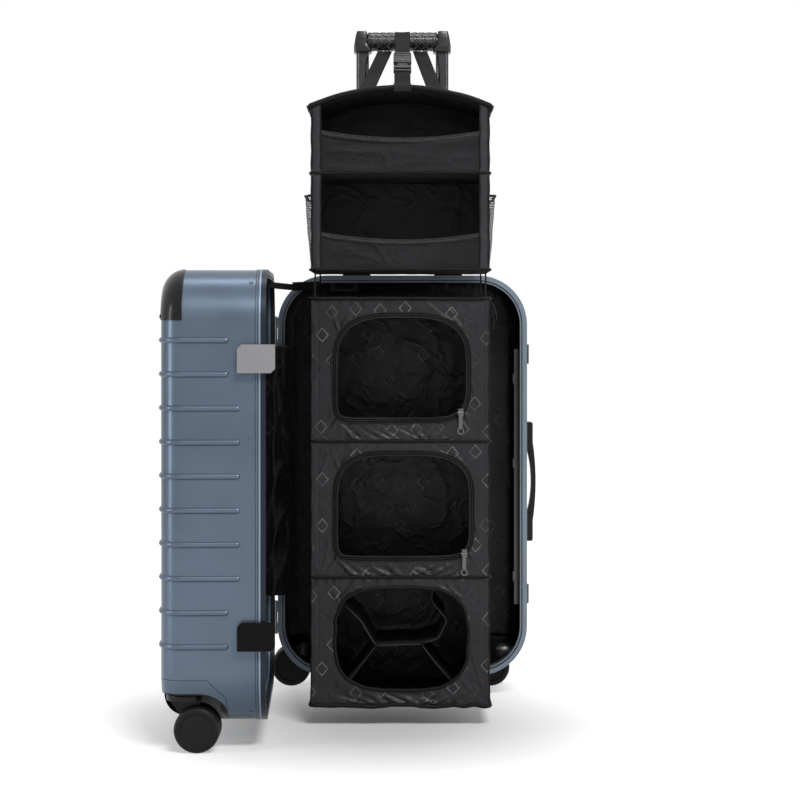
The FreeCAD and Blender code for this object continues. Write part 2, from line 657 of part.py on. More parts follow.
def latch_base(z):
    """The latch's seat on the lid wall, with the pin between two round-ended ears."""
    pin_x, pin_y = latch_pin_place()
    top = HALF_W + SEAT_GAP + LATCH_BASE
    low, high = z - LATCH_TALL / 2, z + LATCH_TALL / 2 - LATCH_CHAMFER
    seat = box((HALF_W - SKIN + SEAT_GAP, top), (pin_y, -FRAME_DEPTH - 1), (low + LATCH_LAND, high - LATCH_LAND))
    ends = rod(vec(pin_x, pin_y, low + LATCH_LAND), vec(pin_x, pin_y, high - LATCH_LAND), LATCH_BOSS_R)
    room = LATCH_BOSS_R + RUN_GAP
    hollow = box((pin_x - room, top + 1), (pin_y - room, pin_y + room), (low + LATCH_EAR, high - LATCH_EAR))
    pin = rod(vec(pin_x, pin_y, low + LATCH_LAND), vec(pin_x, pin_y, high - LATCH_LAND), LATCH_PIN_R)
    return seat.fuse(ends).cut(hollow).fuse(pin).removeSplitter()


def catch_plate(z):
    """A striker plate on the case frame, with the ridge that the lever's lip hooks behind."""
    x0 = HALF_W + SEAT_GAP
    low, high = z - LATCH_TALL / 2 + CATCH_SHORT, z + LATCH_TALL / 2 - CATCH_SHORT
    plate = box((x0, x0 + CATCH_PLATE), (CATCH_EDGES[0], FRAME_DEPTH - CATCH_EDGES[1]), (low, high))
    ridge_y = LATCH_OVERHANG - CATCH_LIP - RUN_GAP
    ridge = box((x0, x0 + CATCH_RIDGE), (ridge_y - CATCH_RIDGE_WIDTH, ridge_y), (low, high))
    return plate.fuse(ridge).removeSplitter()


def latches():
    for name, z in zip(("upper", "lower"), LATCH_HEIGHTS):
        save(f"latch_lever_{name}", swung(latch_lever(z), LID_OPEN_DEG))
    save("latch_bases", *[swung(latch_base(z), LID_OPEN_DEG) for z in LATCH_HEIGHTS])
    save("catch_plates", *[catch_plate(z) for z in LATCH_HEIGHTS])


# ---------------------------------------------------------------- carry handles


def carry_handle():
    """A carry handle along Z on a wall at X = 0, facing +X: its two mounts, and its arched grip."""
    half = CARRY_LENGTH / 2
    mounts = []
    for s in (1, -1):
        z0, z1 = sorted((s * (half - CARRY_MOUNT), s * half))
        mount = box((SEAT_GAP, CARRY_MOUNT_HEIGHT), (-CARRY_WIDTH / 2, CARRY_WIDTH / 2), (z0, z1))
        rims = [e for e in mount.Edges if all(v.X > 1 for v in e.Vertexes)]
        mount = mount.makeChamfer(CARRY_CHAMFER, rims)
        inner = s * (half - CARRY_MOUNT - 1)
        slot_z = sorted((inner, s * (half - CARRY_END)))
        slot = box((CARRY_FLOOR, CARRY_MOUNT_HEIGHT + 1), (-CARRY_WIDTH / 2 + CARRY_SIDE, CARRY_WIDTH / 2 - CARRY_SIDE), slot_z)
        mounts.append(mount.cut(slot))
    end = half - CARRY_END - 2 * RUN_GAP - CARRY_SLOT
    neck = half - CARRY_MOUNT
    grip_y = CARRY_WIDTH / 2 - CARRY_SIDE - RUN_GAP
    back = CARRY_FLOOR + RUN_GAP
    outer = Part.Arc(vec(back + CARRY_GRIP - 1, 0, -end), vec(CARRY_RISE, 0, 0), vec(back + CARRY_GRIP - 1, 0, end))
    inner = Part.Arc(vec(back, 0, neck), vec(CARRY_RISE - CARRY_GRIP, 0, 0), vec(back, 0, -neck))
    edges = [
        outer.toShape(),
        Part.LineSegment(vec(back + CARRY_GRIP - 1, 0, end), vec(back, 0, end)).toShape(),
        Part.LineSegment(vec(back, 0, end), vec(back, 0, neck)).toShape(),
        inner.toShape(),
        Part.LineSegment(vec(back, 0, -neck), vec(back, 0, -end)).toShape(),
        Part.LineSegment(vec(back, 0, -end), vec(back + CARRY_GRIP - 1, 0, -end)).toShape(),
    ]
    face = Part.Face(Part.Wire(edges))
    face.translate(vec(0, -grip_y, 0))
    return mounts, face.extrude(vec(0, 2 * grip_y, 0))


def carry_handles():
    mounts, grip = carry_handle()
    to_side = FreeCAD.Placement(vec(HALF_W - SKIN, SIDE_HANDLE[0], MID_Z + SIDE_HANDLE[1]), FreeCAD.Rotation())
    to_top = FreeCAD.Placement(
        vec(TOP_HANDLE[0], TOP_HANDLE[1], TOP_Z - SKIN), FreeCAD.Rotation(vec(0, 1, 0), -90)
    )
    placed = []
    for place in (to_side, to_top):
        for mount in mounts:
            copy = mount.copy()
            copy.Placement = place.multiply(copy.Placement)
            placed.append(copy)
    save("carry_handle_mounts", *placed)
    for name, place in (("side_handle", to_side), ("top_handle", to_top)):
        copy = grip.copy()
        copy.Placement = place.multiply(copy.Placement)
        save(name, copy)


def backing_bar():
    """The stiffening bar inside the right wall, behind the side handle, with its clamps."""
    wall, front, back = HALF_W - WALL_LINED, BACKING_FRONT, BACKING_FRONT + BACKING_WIDTH
    inner = wall - BACKING_THICK
    stand, past, length = BACKING_CLAMP
    bar = box((inner, wall), (front, back), (MID_Z + BACKING_ENDS[0], MID_Z + BACKING_ENDS[1]))
    clamps = []
    for at in BACKING_CLAMPS:
        z = (MID_Z + at - length / 2, MID_Z + at + length / 2)
        clamps.append(box((inner - stand, wall), (front - past, back + past), z))
    return bar.multiFuse(clamps).removeSplitter()


# ---------------------------------------------------------------- telescopic handle


def obround(width, depth, x, z0, z1):
    wire = rounded_wire(width, depth, depth / 2 - 0.01, lambda a, b: vec(x + a, TUBE_Y + b, z0))
    return Part.Face(wire).extrude(vec(0, 0, z1 - z0))


def tube(grow, x, z0, z1):
    """One flat-sided oval tube; grow is its outside over the upper tube's outside."""
    width, depth = TUBE_WIDTH + 2 * grow, TUBE_DEPTH + 2 * grow
    bore = obround(width - 2 * TUBE_WALL, depth - 2 * TUBE_WALL, x, z0 - 1, z1 + 1)
    return obround(width, depth, x, z0, z1).cut(bore)


def telescopic_handle():
    step = TUBE_WALL + RUN_GAP
    guides = [tube(2 * step, x, GUIDE_FOOT, BEZEL_FOOT - SEAT_GAP) for x in (TUBE_X, -TUBE_X)]
    foot_y = (TUBE_Y - GUIDE_BRACKET, HALF_DEPTH - WALL - RUN_GAP)
    foot_x = TUBE_X + GUIDE_BRACKET_END
    foot = box((-foot_x, foot_x), foot_y, (GUIDE_FOOT - SEAT_GAP - GUIDE_BRACKET_THICK, GUIDE_FOOT - SEAT_GAP))
    save("handle_guides", *guides, foot)
    save("handle_stage_tubes", *[tube(step, x, STAGE_FOOT, STAGE_HEAD) for x in (TUBE_X, -TUBE_X)])
    cap_foot = GRIP_Z - CAP_HEIGHT / 2 - 1
    save("handle_upper_tubes", *[tube(0, x, UPPER_FOOT, cap_foot + CAP_SOCKET) for x in (TUBE_X, -TUBE_X)])
    caps = []
    for s in (1, -1):
        x = sorted((s * (GRIP_WIDTH / 2), s * (GRIP_WIDTH / 2 - CAP_WIDTH)))
        cap = box(x, (TUBE_Y - CAP_DEPTH / 2, TUBE_Y + CAP_DEPTH / 2), (cap_foot, cap_foot + CAP_HEIGHT))
        lying = [e for e in cap.Edges if abs(e.Vertexes[0].X - e.Vertexes[-1].X) > 1]
        cap = cap.makeFillet(CAP_EDGE_R, lying)
        socket = obround(TUBE_WIDTH + 2 * SEAT_GAP, TUBE_DEPTH + 2 * SEAT_GAP, s * TUBE_X, cap_foot - 1, cap_foot + CAP_SOCKET + SEAT_GAP)
        tenon = rod(vec(x[0] - 1 if s > 0 else x[1] + 1, TUBE_Y, GRIP_Z), vec(s * (GRIP_WIDTH / 2 - CAP_WIDTH + PEG + RUN_GAP), TUBE_Y, GRIP_Z), PEG_R + SEAT_GAP)
        caps.append(cap.cut(socket).cut(tenon))
    save("handle_caps", *caps)
    half = GRIP_WIDTH / 2 - CAP_WIDTH - SEAT_GAP
    grip = rod(vec(-half, TUBE_Y, GRIP_Z), vec(half, TUBE_Y, GRIP_Z), GRIP_R)
    pegs = rod(vec(-half - PEG, TUBE_Y, GRIP_Z), vec(half + PEG, TUBE_Y, GRIP_Z), PEG_R)
    bw, bd, bh = BUTTON
    pit_foot = GRIP_Z + GRIP_R - bh - BUTTON_TRAVEL - RUN_GAP
    pit = box((-bw / 2 - RUN_GAP, bw / 2 + RUN_GAP), (TUBE_Y - bd / 2 - RUN_GAP, TUBE_Y + bd / 2 + RUN_GAP), (pit_foot, FAR * 2))
    save("handle_grip", grip.fuse(pegs).cut(pit).removeSplitter())
    button = box((-bw / 2, bw / 2), (TUBE_Y - bd / 2, TUBE_Y + bd / 2), (GRIP_Z + GRIP_R - bh, GRIP_Z + GRIP_R))
    round_top = rod(vec(-FAR, TUBE_Y, GRIP_Z), vec(FAR, TUBE_Y, GRIP_Z), GRIP_R)
    save("handle_button", button.common(round_top))


def handle_bezel():
    """The tray round the tubes, set in the top edge of the case."""
    block = skin_body(BEZEL_PROUD).common(bezel_footprint(0))
    across, along = GRIP_WIDTH / 2 + BEZEL_MARGIN[0], CAP_DEPTH / 2 + BEZEL_MARGIN[1]
    pocket = box((-across, across), (TUBE_Y - along, TUBE_Y + along), (TOP_Z - BEZEL_POCKET, FAR))
    block = block.cut(pocket)
    step = TUBE_WALL + RUN_GAP
    for x in (TUBE_X, -TUBE_X):
        block = block.cut(obround(TUBE_WIDTH + 2 * step + 2 * RUN_GAP, TUBE_DEPTH + 2 * step + 2 * RUN_GAP, x, 0, FAR))
    return block


# ---------------------------------------------------------------- closet


def board(top, x0=CLOSET_LEFT, x1=CLOSET_RIGHT):
    centre = (x0 + x1) / 2
    middle = (CLOSET_FRONT + CLOSET_BACK) / 2
    wire = rounded_wire(x1 - x0, CLOSET_DEPTH, BOARD_R, lambda a, b: vec(centre + a, middle + b, top - BOARD))
    return Part.Face(wire).extrude(vec(0, 0, BOARD))


def roof_profile(drop, overhang=ROOF_OVERHANG):
    """The arch of the roof, lowered by drop, as an edge at the closet's front."""
    half = CLOSET_WIDTH / 2 + overhang
    edge = ROOF_EDGE - drop
    ends = [vec(CLOSET_X + s * half, CLOSET_FRONT, edge) for s in (-1, 1)]
    return Part.Arc(ends[0], vec(CLOSET_X, CLOSET_FRONT, edge + ROOF_RISE), ends[1]).toShape()


def roof_top(x):
    """Height of the roof's upper surface at x."""
    half = CLOSET_WIDTH / 2 + ROOF_OVERHANG
    radius = (half ** 2 + ROOF_RISE ** 2) / (2 * ROOF_RISE)
    return ROOF_EDGE + BOARD + ROOF_RISE - radius + math.sqrt(radius ** 2 - (x - CLOSET_X) ** 2)


def roof():
    top, under = roof_profile(-BOARD), roof_profile(0)
    sides = [
        Part.LineSegment(top.Vertexes[i].Point, under.Vertexes[i].Point).toShape() for i in (0, 1)
    ]
    wire = Part.Wire(Part.__sortEdges__([top, under] + sides))
    return Part.Face(wire).extrude(vec(0, CLOSET_DEPTH, 0))


def sleeve(low, high):
    """A square fabric sleeve: side, back and front walls of one compartment."""
    z = (low + RUN_GAP, high - RUN_GAP)
    outer = box((CLOSET_LEFT, CLOSET_RIGHT), (CLOSET_FRONT, CLOSET_BACK), z)
    inner = box((CLOSET_LEFT + CLOTH, CLOSET_RIGHT - CLOTH), (CLOSET_FRONT + CLOTH, CLOSET_BACK - CLOTH), (0, FAR))
    return outer.cut(inner)


def open_front(walls):
    """Leave only the side bands of a compartment's front."""
    inside = (CLOSET_LEFT + BAND, CLOSET_RIGHT - BAND)
    return walls.cut(box(inside, (CLOSET_FRONT - 1, CLOSET_FRONT + CLOTH + 1), (0, FAR)))


def upper_walls():
    """Walls of the two open compartments, the first cut to the roof's arch."""
    under = roof_profile(RUN_GAP, 0)
    feet = [vec(CLOSET_RIGHT, CLOSET_FRONT, 0), vec(CLOSET_LEFT, CLOSET_FRONT, 0)]
    rim = [under.Vertexes[1].Point, feet[0], feet[1], under.Vertexes[0].Point]
    edges = [under] + [Part.LineSegment(rim[i], rim[i + 1]).toShape() for i in range(3)]
    below_roof = Part.Face(Part.Wire(Part.__sortEdges__(edges))).extrude(vec(0, CLOSET_DEPTH, 0))
    shelf, base = SHELF_TOPS["upper_shelf"], SHELF_TOPS["closet_base"]
    top_walls = open_front(sleeve(shelf, ROOF_EDGE + ROOF_RISE + BOARD)).common(below_roof)
    low_walls = open_front(sleeve(base, shelf - BOARD))
    pocket_top, pocket_foot, stand, inset = SIDE_POCKET
    pockets = []
    for s in (-1, 1):
        wall_x = CLOSET_X + s * (CLOSET_WIDTH / 2 + RUN_GAP)
        points = [vec(wall_x, CLOSET_FRONT + inset, pocket_foot), vec(wall_x, CLOSET_FRONT + inset, pocket_top)]
        points.append(vec(wall_x + s * stand, CLOSET_FRONT + inset, pocket_top))
        pockets.append(prism(points, vec(0, CLOSET_DEPTH - 2 * inset, 0)))
    return top_walls, low_walls, pockets


def mesh_pocket(floor, height):
    """A mesh pocket across the foot of an open compartment, hung between its bands."""
    y0 = CLOSET_FRONT + CLOTH + RUN_GAP
    x0, x1 = CLOSET_LEFT + CLOTH + RUN_GAP, CLOSET_RIGHT - CLOTH - RUN_GAP
    z0, z1 = floor + RUN_GAP, floor + height
    top = Part.Arc(vec(x0, y0, z1), vec(CLOSET_X, y0, z1 - POCKET_DIP), vec(x1, y0, z1)).toShape()
    edges = [top]
    edges += [
        Part.LineSegment(vec(x1, y0, z1), vec(x1, y0, z0)).toShape(),
        Part.LineSegment(vec(x1, y0, z0), vec(x0, y0, z0)).toShape(),
        Part.LineSegment(vec(x0, y0, z0), vec(x0, y0, z1)).toShape(),
    ]
    return Part.Face(Part.Wire(edges)).extrude(vec(0, MESH, 0))


def tier_opening(i):
    """The zip opening of one lower compartment: left, right, foot and head."""
    tops = list(TIER_TOPS.values())
    left, right, foot, head = OPENINGS[i]
    return CLOSET_LEFT + left, CLOSET_RIGHT - right, tops[i + 1] + foot, tops[i] - BOARD - head


def tier_walls(i):
    """Walls of a lower compartment with its rounded zip opening."""
    tops = list(TIER_TOPS.values())
    left, right, foot, head = tier_opening(i)
    x, z = (left + right) / 2, (foot + head) / 2
    wire = rounded_wire(right - left, head - foot, OPENING_R, lambda a, b: vec(x + a, CLOSET_FRONT - 1, z + b))
    return sleeve(tops[i + 1], tops[i] - BOARD).cut(Part.Face(wire).extrude(vec(0, CLOTH + 2, 0)))


def zip_slider(x, z):
    """A slider body with two ears and a pin, standing on the zip."""
    w, t, h = SLIDER
    y = CLOSET_FRONT - RUN_GAP
    body = box((x - w / 2, x + w / 2), (y - t, y), (z - h / 2, z + h / 2))
    body = body.makeChamfer(SLIDER_CHAMFER, [e for e in body.Edges if all(v.Y < y - 1 for v in e.Vertexes)])
    stand = (y - t - SLIDER_STAND - SLIDER_EAR_COVER, y - t + 1)
    across, tall = SLIDER_EAR[0] / 2, SLIDER_EAR[1] / 2
    middles = (x + SLIDER_EAR_REACH, x - SLIDER_EAR_REACH)
    ears = [box((at - across, at + across), stand, (z - tall, z + tall)) for at in middles]
    pin_y = y - t - SLIDER_STAND
    pin = rod(vec(middles[1], pin_y, z), vec(middles[0], pin_y, z), SLIDER_PIN_R)
    return body.multiFuse(ears + [pin]).removeSplitter()


def zip_pull(x, z):
    """A flat pull with a round ring at its foot, hung on the slider's pin."""
    w, t, h = PULL
    y = CLOSET_FRONT - RUN_GAP - SLIDER[1] - SLIDER_STAND
    bar = box((x - w / 2, x + w / 2), (y - t / 2, y + t / 2), (z - h + PULL_RING_R, z))
    eye = rod(vec(x - w / 2, y, z), vec(x + w / 2, y, z), SLIDER_STAND - RUN_GAP)
    bore = rod(vec(x - w, y, z), vec(x + w, y, z), SLIDER_PIN_R + PIN_GAP)
    centre = vec(x, y - t / 2, z - h)
    ring_out = rod(centre, centre + vec(0, t, 0), PULL_RING_R)
    ring_in = rod(centre - vec(0, 1, 0), centre + vec(0, t + 1, 0), PULL_RING_R - PULL_RING)
    return bar.multiFuse([eye, ring_out]).cut(bore).cut(ring_in).removeSplitter()


def ribbon(start, end, width, thick):
    """A flat strap between two points, its width level along X."""
    along = (end - start).normalize()
    across = vec(1, 0, 0)
    normal = along.cross(across).normalize()
    a, n = across * (width / 2), normal * (thick / 2)
    points = [start - a - n, start + a - n, start + a + n, start - a + n]
    return prism(points, end - start)


def band(path, width, thick, x=0.0):
    """A strap of constant width along X that follows a list of (y, z) points."""
    left, right = [], []
    for i, (y, z) in enumerate(path):
        before, after = path[max(i - 1, 0)], path[min(i + 1, len(path) - 1)]
        dy, dz = after[0] - before[0], after[1] - before[1]
        scale = thick / 2 / math.hypot(dy, dz)
        left.append(vec(x - width / 2, y - dz * scale, z + dy * scale))
        right.append(vec(x - width / 2, y + dz * scale, z - dy * scale))
    return prism(left + right[::-1], vec(width, 0, 0))


def closet_straps():
    """The centre strap, looped round the grip and laid over the roof, and two diagonal straps."""
    ridge = ROOF_EDGE + ROOF_RISE + BOARD + STRAP / 2 + RUN_GAP
    loop_r = GRIP_R + RUN_GAP
    loop = rod(vec(-STRAP_WIDTH / 2, TUBE_Y, GRIP_Z), vec(STRAP_WIDTH / 2, TUBE_Y, GRIP_Z), loop_r + STRAP)
    loop = loop.cut(rod(vec(-FAR, TUBE_Y, GRIP_Z), vec(FAR, TUBE_Y, GRIP_Z), loop_r))
    start = (TUBE_Y - loop_r - STRAP / 2, GRIP_Z - 2)
    back, front = (CLOSET_BACK - 6, ridge), (CLOSET_FRONT - STRAP, ridge)
    hem = (CLOSET_FRONT - STRAP, ROOF_EDGE + ROOF_RISE - 3)
    along = math.hypot(start[0] - back[0], start[1] - back[1])
    toward = ((back[0] - start[0]) / along, (back[1] - start[1]) / along)
    top_end = BUCKLE_FROM_GRIP
    low_end = BUCKLE_FROM_GRIP + BUCKLE_LENGTH
    leave = (start[0] + toward[0] * (top_end + 2), start[1] + toward[1] * (top_end + 2))
    enter = (start[0] + toward[0] * (low_end - 2), start[1] + toward[1] * (low_end - 2))
    upper = loop.fuse(band([start, leave], STRAP_WIDTH, STRAP))
    lower = band([enter, back, front], STRAP_WIDTH, STRAP)
    tab = band([(front[0], ridge + STRAP / 2), hem], STRAP_WIDTH, STRAP)
    diagonals = []
    at_grip, at_roof = STRAP_SPREAD
    for s in (1, -1):
        top = vec(s * at_grip, TUBE_Y - GRIP_R - STRAP, GRIP_Z - GRIP_R / 2)
        lie = roof_top(CLOSET_X + at_roof - STRAP_WIDTH / 2) + STRAP / 2 + RUN_GAP
        edge = vec(CLOSET_X + s * at_roof, CLOSET_BACK + 1, lie + 1)
        sewn = vec(CLOSET_X + s * at_roof, CLOSET_BACK - STRAP_SEWN, lie)
        run, tail = ribbon(top, edge, STRAP_WIDTH, STRAP), ribbon(edge, sewn, STRAP_WIDTH, STRAP)
        diagonals.append(run.fuse(tail).removeSplitter())
    save("closet_straps", upper, lower.fuse(tab).removeSplitter(), *diagonals)
    buckle(start, toward)


def buckle(start, toward):
    """A side-release buckle on the centre strap: a socket with side windows, and a plug with two arms."""
    half, thick, split, wall = BUCKLE_WIDTH / 2, BUCKLE_THICK / 2, BUCKLE_SOCKET, BUCKLE_WALL

    def block(z0, z1, chamfer):
        piece = box((-half, half), (-thick, thick), (z0, z1))
        return piece.makeChamfer(chamfer, [e for e in piece.Edges if abs(e.Vertexes[0].Z - e.Vertexes[-1].Z) > 1])

    def strap_slot(z0, z1):
        across, room = STRAP_WIDTH / 2 + RUN_GAP, STRAP / 2 + SEAT_GAP
        return box((-across, across), (-room, room), (z0, z1))

    hollow = box((wall - half, half - wall), (wall - thick, thick - wall), (BUCKLE_HOLLOW, split + 1))
    windows = box((-2 * half, 2 * half), (wall - thick, thick - wall), (BUCKLE_WINDOW[0], split - BUCKLE_WINDOW[1]))
    socket = block(0, split, BUCKLE_CHAMFERS[0]).cut(hollow).cut(windows).cut(strap_slot(-1, BUCKLE_SLOT))
    base = block(split + SEAT_GAP, BUCKLE_LENGTH, BUCKLE_CHAMFERS[1])
    base = base.cut(strap_slot(BUCKLE_LENGTH - BUCKLE_SLOT, BUCKLE_LENGTH + 1))
    arm_y = thick - wall - RUN_GAP
    near, far = BUCKLE_ARM
    foot, head = BUCKLE_BARB
    barb = half - 0.5
    arms = []
    for s in (1, -1):
        points = [(near, split + 2), (far, split + 2), (far, head), (barb, head - 2), (barb, foot + 1), (far - 1, foot - 1), (near, foot)]
        arms.append(prism([vec(s * x, -arm_y, z) for x, z in points], vec(0, 2 * arm_y, 0)))
    tongue = box((-near / 2, near / 2), (-arm_y, arm_y), (foot, split + 2))
    plug = base.multiFuse(arms + [tongue]).removeSplitter()
    tilt = math.degrees(math.atan2(-toward[0], toward[1]))
    anchor = vec(0, start[0] + toward[0] * BUCKLE_FROM_GRIP, start[1] + toward[1] * BUCKLE_FROM_GRIP)
    place = FreeCAD.Placement(anchor, FreeCAD.Rotation(vec(1, 0, 0), tilt))
    for piece in (socket, plug):
        piece.Placement = place.multiply(piece.Placement)
    save("strap_buckle", socket, plug)


def link_cords():
    """Four cords that join the lower compartments to the closet's base."""
    low, high = TIER_TOPS["tier_top"] + RUN_GAP, SHELF_TOPS["closet_base"] - BOARD - RUN_GAP
    cords = []
    for x in (CLOSET_LEFT + CORD_INSET, CLOSET_RIGHT - CORD_INSET):
        for y in (CLOSET_FRONT + CORD_INSET, CLOSET_BACK - CORD_INSET):
            cords.append(rod(vec(x, y, low), vec(x, y, high), CORD_R))
    return cords


def closet():
    save("closet_roof", roof())
    for name, top in SHELF_TOPS.items():
        save(name, board(top))
    for name, top in TIER_TOPS.items():
        save(name, board(top))
    top_walls, low_walls, pockets = upper_walls()
    save("upper_walls_1", top_walls)
    save("upper_walls_2", low_walls)
    save("upper_pocket_1", mesh_pocket(SHELF_TOPS["upper_shelf"], POCKET_HEIGHTS[0]))
    save("upper_pockets_2", mesh_pocket(SHELF_TOPS["closet_base"], POCKET_HEIGHTS[1]), *pockets)
    for i in range(len(OPENINGS)):
        save(f"tier_walls_{i + 1}", tier_walls(i))
    save("link_cords", *link_cords())
    for i, (name, (inward, up)) in enumerate(ZIPS.items()):
        x, z = tier_opening(i)[1] - inward, tier_opening(i)[2] + up
        save(f"{name}_slider", zip_slider(x, z))
        save(f"{name}_pull", zip_pull(x, z))


# ---------------------------------------------------------------- fabric between lid and case


def curtain(points, low, high, thick):
    """A hanging sheet along a list of (x, y) points."""
    left, right = [], []
    for i, (x, y) in enumerate(points):
        before, after = points[max(i - 1, 0)], points[min(i + 1, len(points) - 1)]
        dx, dy = after[0] - before[0], after[1] - before[1]
        scale = thick / 2 / math.hypot(dx, dy)
        left.append(vec(x - dy * scale, y + dx * scale, low))
        right.append(vec(x + dy * scale, y - dx * scale, low))
    return prism(left + right[::-1], vec(0, 0, high - low))


def hinge_cover():
    """The fabric gusset over the hinges, from inside the lid to inside the case."""
    wall = -HALF_W + WALL_LINED
    near, far = COVER_OUT
    path = [on_lid_point(wall + COVER / 2, -COVER_SEAT), (HINGE_X - near, -near), (HINGE_X, -far)]
    path += [(wall + x, y) for x, y in COVER_BULGE] + [(wall + COVER / 2, COVER_SEAT + 6)]
    return curtain(path, FLOOR_GAP + COVER_ENDS[0], TOP_Z - COVER_ENDS[1], COVER)


def stay_strap():
    """The strap that stops the lid, from the lid's top to the case's, with a stitched sleeve on it."""
    start, end = [vec(x - HALF_W, y, STAY_Z) for x, y in STAY_ENDS]
    along = vec(end.x - start.x, end.y - start.y, 0).normalize()
    side = along.cross(vec(0, 0, 1)).normalize()

    def strip(a, b, width, thick):
        points = [a - side * (thick / 2), a + side * (thick / 2), b + side * (thick / 2), b - side * (thick / 2)]
        return prism([p - vec(0, 0, width / 2) for p in points], vec(0, 0, width))

    lid_part, case_part, wider, sleeve_thick = STAY_SLEEVE
    strap = strip(start, end, STAY_WIDTH, STAY)
    sleeve_piece = strip(start + along * lid_part, end - along * case_part, STAY_WIDTH + wider, sleeve_thick)
    top = TOP_Z - WALL_LINED
    tabs = []
    for a, b in ((start, start + along * STAY_TAB), (end - along * STAY_TAB, end)):
        tab = strip(a, b, STAY_WIDTH, STAY)
        tabs.append(tab.fuse(tab.translated(vec(0, 0, top - STAY_Z - STAY_WIDTH / 2))))
        tabs.append(strip(vec(a.x, a.y, (top + STAY_Z) / 2), vec(b.x, b.y, (top + STAY_Z) / 2), top - STAY_Z, STAY))
    return strap.multiFuse([sleeve_piece] + tabs).removeSplitter()


def brackets():
    """Two bent metal brackets under the top of the case that the closet's lower part hooks on."""
    made = []
    width, depth, thick, drop_length = BRACKET
    slot_width, slot_top, slot_foot = BRACKET_SLOT
    front, top = FRAME_DEPTH + BRACKET_BACK, TOP_Z - WALL_LINED
    for x in (BRACKETS[0] - HALF_W, HALF_W - BRACKETS[1]):
        sides = (x - width / 2, x + width / 2)
        plate = box(sides, (front, front + depth), (top - thick, top))
        drop = box(sides, (front, front + thick), (top - drop_length, top))
        slot = box((x - slot_width / 2, x + slot_width / 2), (FRAME_DEPTH, front + 2 * thick), (top - slot_foot, top - slot_top))
        made.append(plate.fuse(drop).cut(slot).removeSplitter())
    return made


def cases():
    """Both halves: shell, wheel panels, frame, corner fittings and lining."""
    case_shell, panels = half_shell(True)
    case_shell = case_shell.cut(bezel_footprint(RUN_GAP))
    save("case_shell", case_shell)
    save("case_wheel_panels", *panels)
    save("case_rim_frame", rim_frame(), *rivets())
    guards = [piece.cut(bezel_footprint(RUN_GAP)) for piece in corner_guards()]
    save("case_corner_fittings", *guards, *wheel_wells())
    save("case_lining", lining(CASE_LINING_SPACE))
    save("rim_gasket", rim_gasket())
    lid_shell, panels = half_shell(False)
    save("lid_shell", on_lid(lid_shell))
    save("lid_wheel_panels", *[on_lid(p) for p in panels])
    save("lid_rim_frame", *[on_lid(p) for p in [rim_frame()] + rivets()])
    save("lid_corner_fittings", *[on_lid(p) for p in corner_guards() + wheel_wells()])
    save("lid_lining", on_lid(lining(LID_LINING_SPACE)))


def casters():
    caster("rear_left", -CASTER_X, CASTER_Y, 180)
    caster("rear_right", CASTER_X, CASTER_Y, 180)
    for name, x in (("front_far", -CASTER_X), ("front_near", CASTER_X)):
        caster(name, *on_lid_point(x, -CASTER_Y), 0)


os.makedirs("parts", exist_ok=True)
cases()
casters()
hinges()
latches()
carry_handles()
save("handle_bezel", handle_bezel())
save("backing_bar", backing_bar())
save("closet_brackets", *brackets())
telescopic_handle()
closet()
closet_straps()
save("hinge_cover", hinge_cover())
save("lid_stay_strap", stay_strap())
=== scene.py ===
"""Fabrics, finishes, lights and camera for a hard-shell wardrobe trunk with a closet hung from its handle.

Everything is in metres in the trunk's own frame: +Z up, the rear half opens towards -Y, and the origin is on
the floor under the rear half's rim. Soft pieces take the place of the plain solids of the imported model.
"""

import collections
import itertools
import json
import math

import bpy
import numpy as np
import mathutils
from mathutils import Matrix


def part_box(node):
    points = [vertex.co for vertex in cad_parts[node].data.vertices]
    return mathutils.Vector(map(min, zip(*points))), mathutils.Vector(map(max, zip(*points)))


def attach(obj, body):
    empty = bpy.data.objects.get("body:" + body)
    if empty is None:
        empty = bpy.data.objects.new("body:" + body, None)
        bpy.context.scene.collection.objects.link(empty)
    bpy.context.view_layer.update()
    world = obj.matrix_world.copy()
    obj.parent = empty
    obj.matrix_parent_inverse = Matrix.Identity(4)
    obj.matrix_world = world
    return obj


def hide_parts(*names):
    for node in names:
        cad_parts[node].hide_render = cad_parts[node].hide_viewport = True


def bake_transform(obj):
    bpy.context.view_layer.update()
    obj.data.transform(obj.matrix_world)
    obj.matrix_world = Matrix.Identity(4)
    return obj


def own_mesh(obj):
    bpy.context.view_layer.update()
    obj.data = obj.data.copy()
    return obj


bl_info = {
    "name": "Wardrobe Trunk",
    "version": (1, 0, 0),
    "blender": (4, 5, 0),
    "location": "3D View > Sidebar > Trunk",
    "description": "Closet fabrics, straps, finishes and a studio for a hard-shell wardrobe trunk",
    "category": "Object",
}

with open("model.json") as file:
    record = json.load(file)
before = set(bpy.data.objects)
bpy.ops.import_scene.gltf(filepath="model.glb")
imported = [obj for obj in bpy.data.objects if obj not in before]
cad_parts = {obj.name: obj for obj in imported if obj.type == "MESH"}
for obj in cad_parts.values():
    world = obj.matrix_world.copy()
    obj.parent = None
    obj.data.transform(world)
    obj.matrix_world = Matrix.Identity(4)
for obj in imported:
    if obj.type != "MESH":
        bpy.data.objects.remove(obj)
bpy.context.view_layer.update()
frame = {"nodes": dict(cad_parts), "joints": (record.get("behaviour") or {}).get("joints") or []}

# The closet's outside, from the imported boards
CLOSET_LOW, CLOSET_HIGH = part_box("tier_shelf_1")
LEFT, RIGHT = CLOSET_LOW.x, CLOSET_HIGH.x
FRONT, BACK = CLOSET_LOW.y, CLOSET_HIGH.y
MIDDLE = (LEFT + RIGHT) / 2
ROOF_LOW, ROOF_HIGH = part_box("closet_roof")
BOARD = 0.003
BAND = 0.014  # width of the front bands of the open compartments
SEAM = 0.0103  # from the closet's side edges to the seams on its front
GAP = 0.0003  # between neighbours that rest on each other

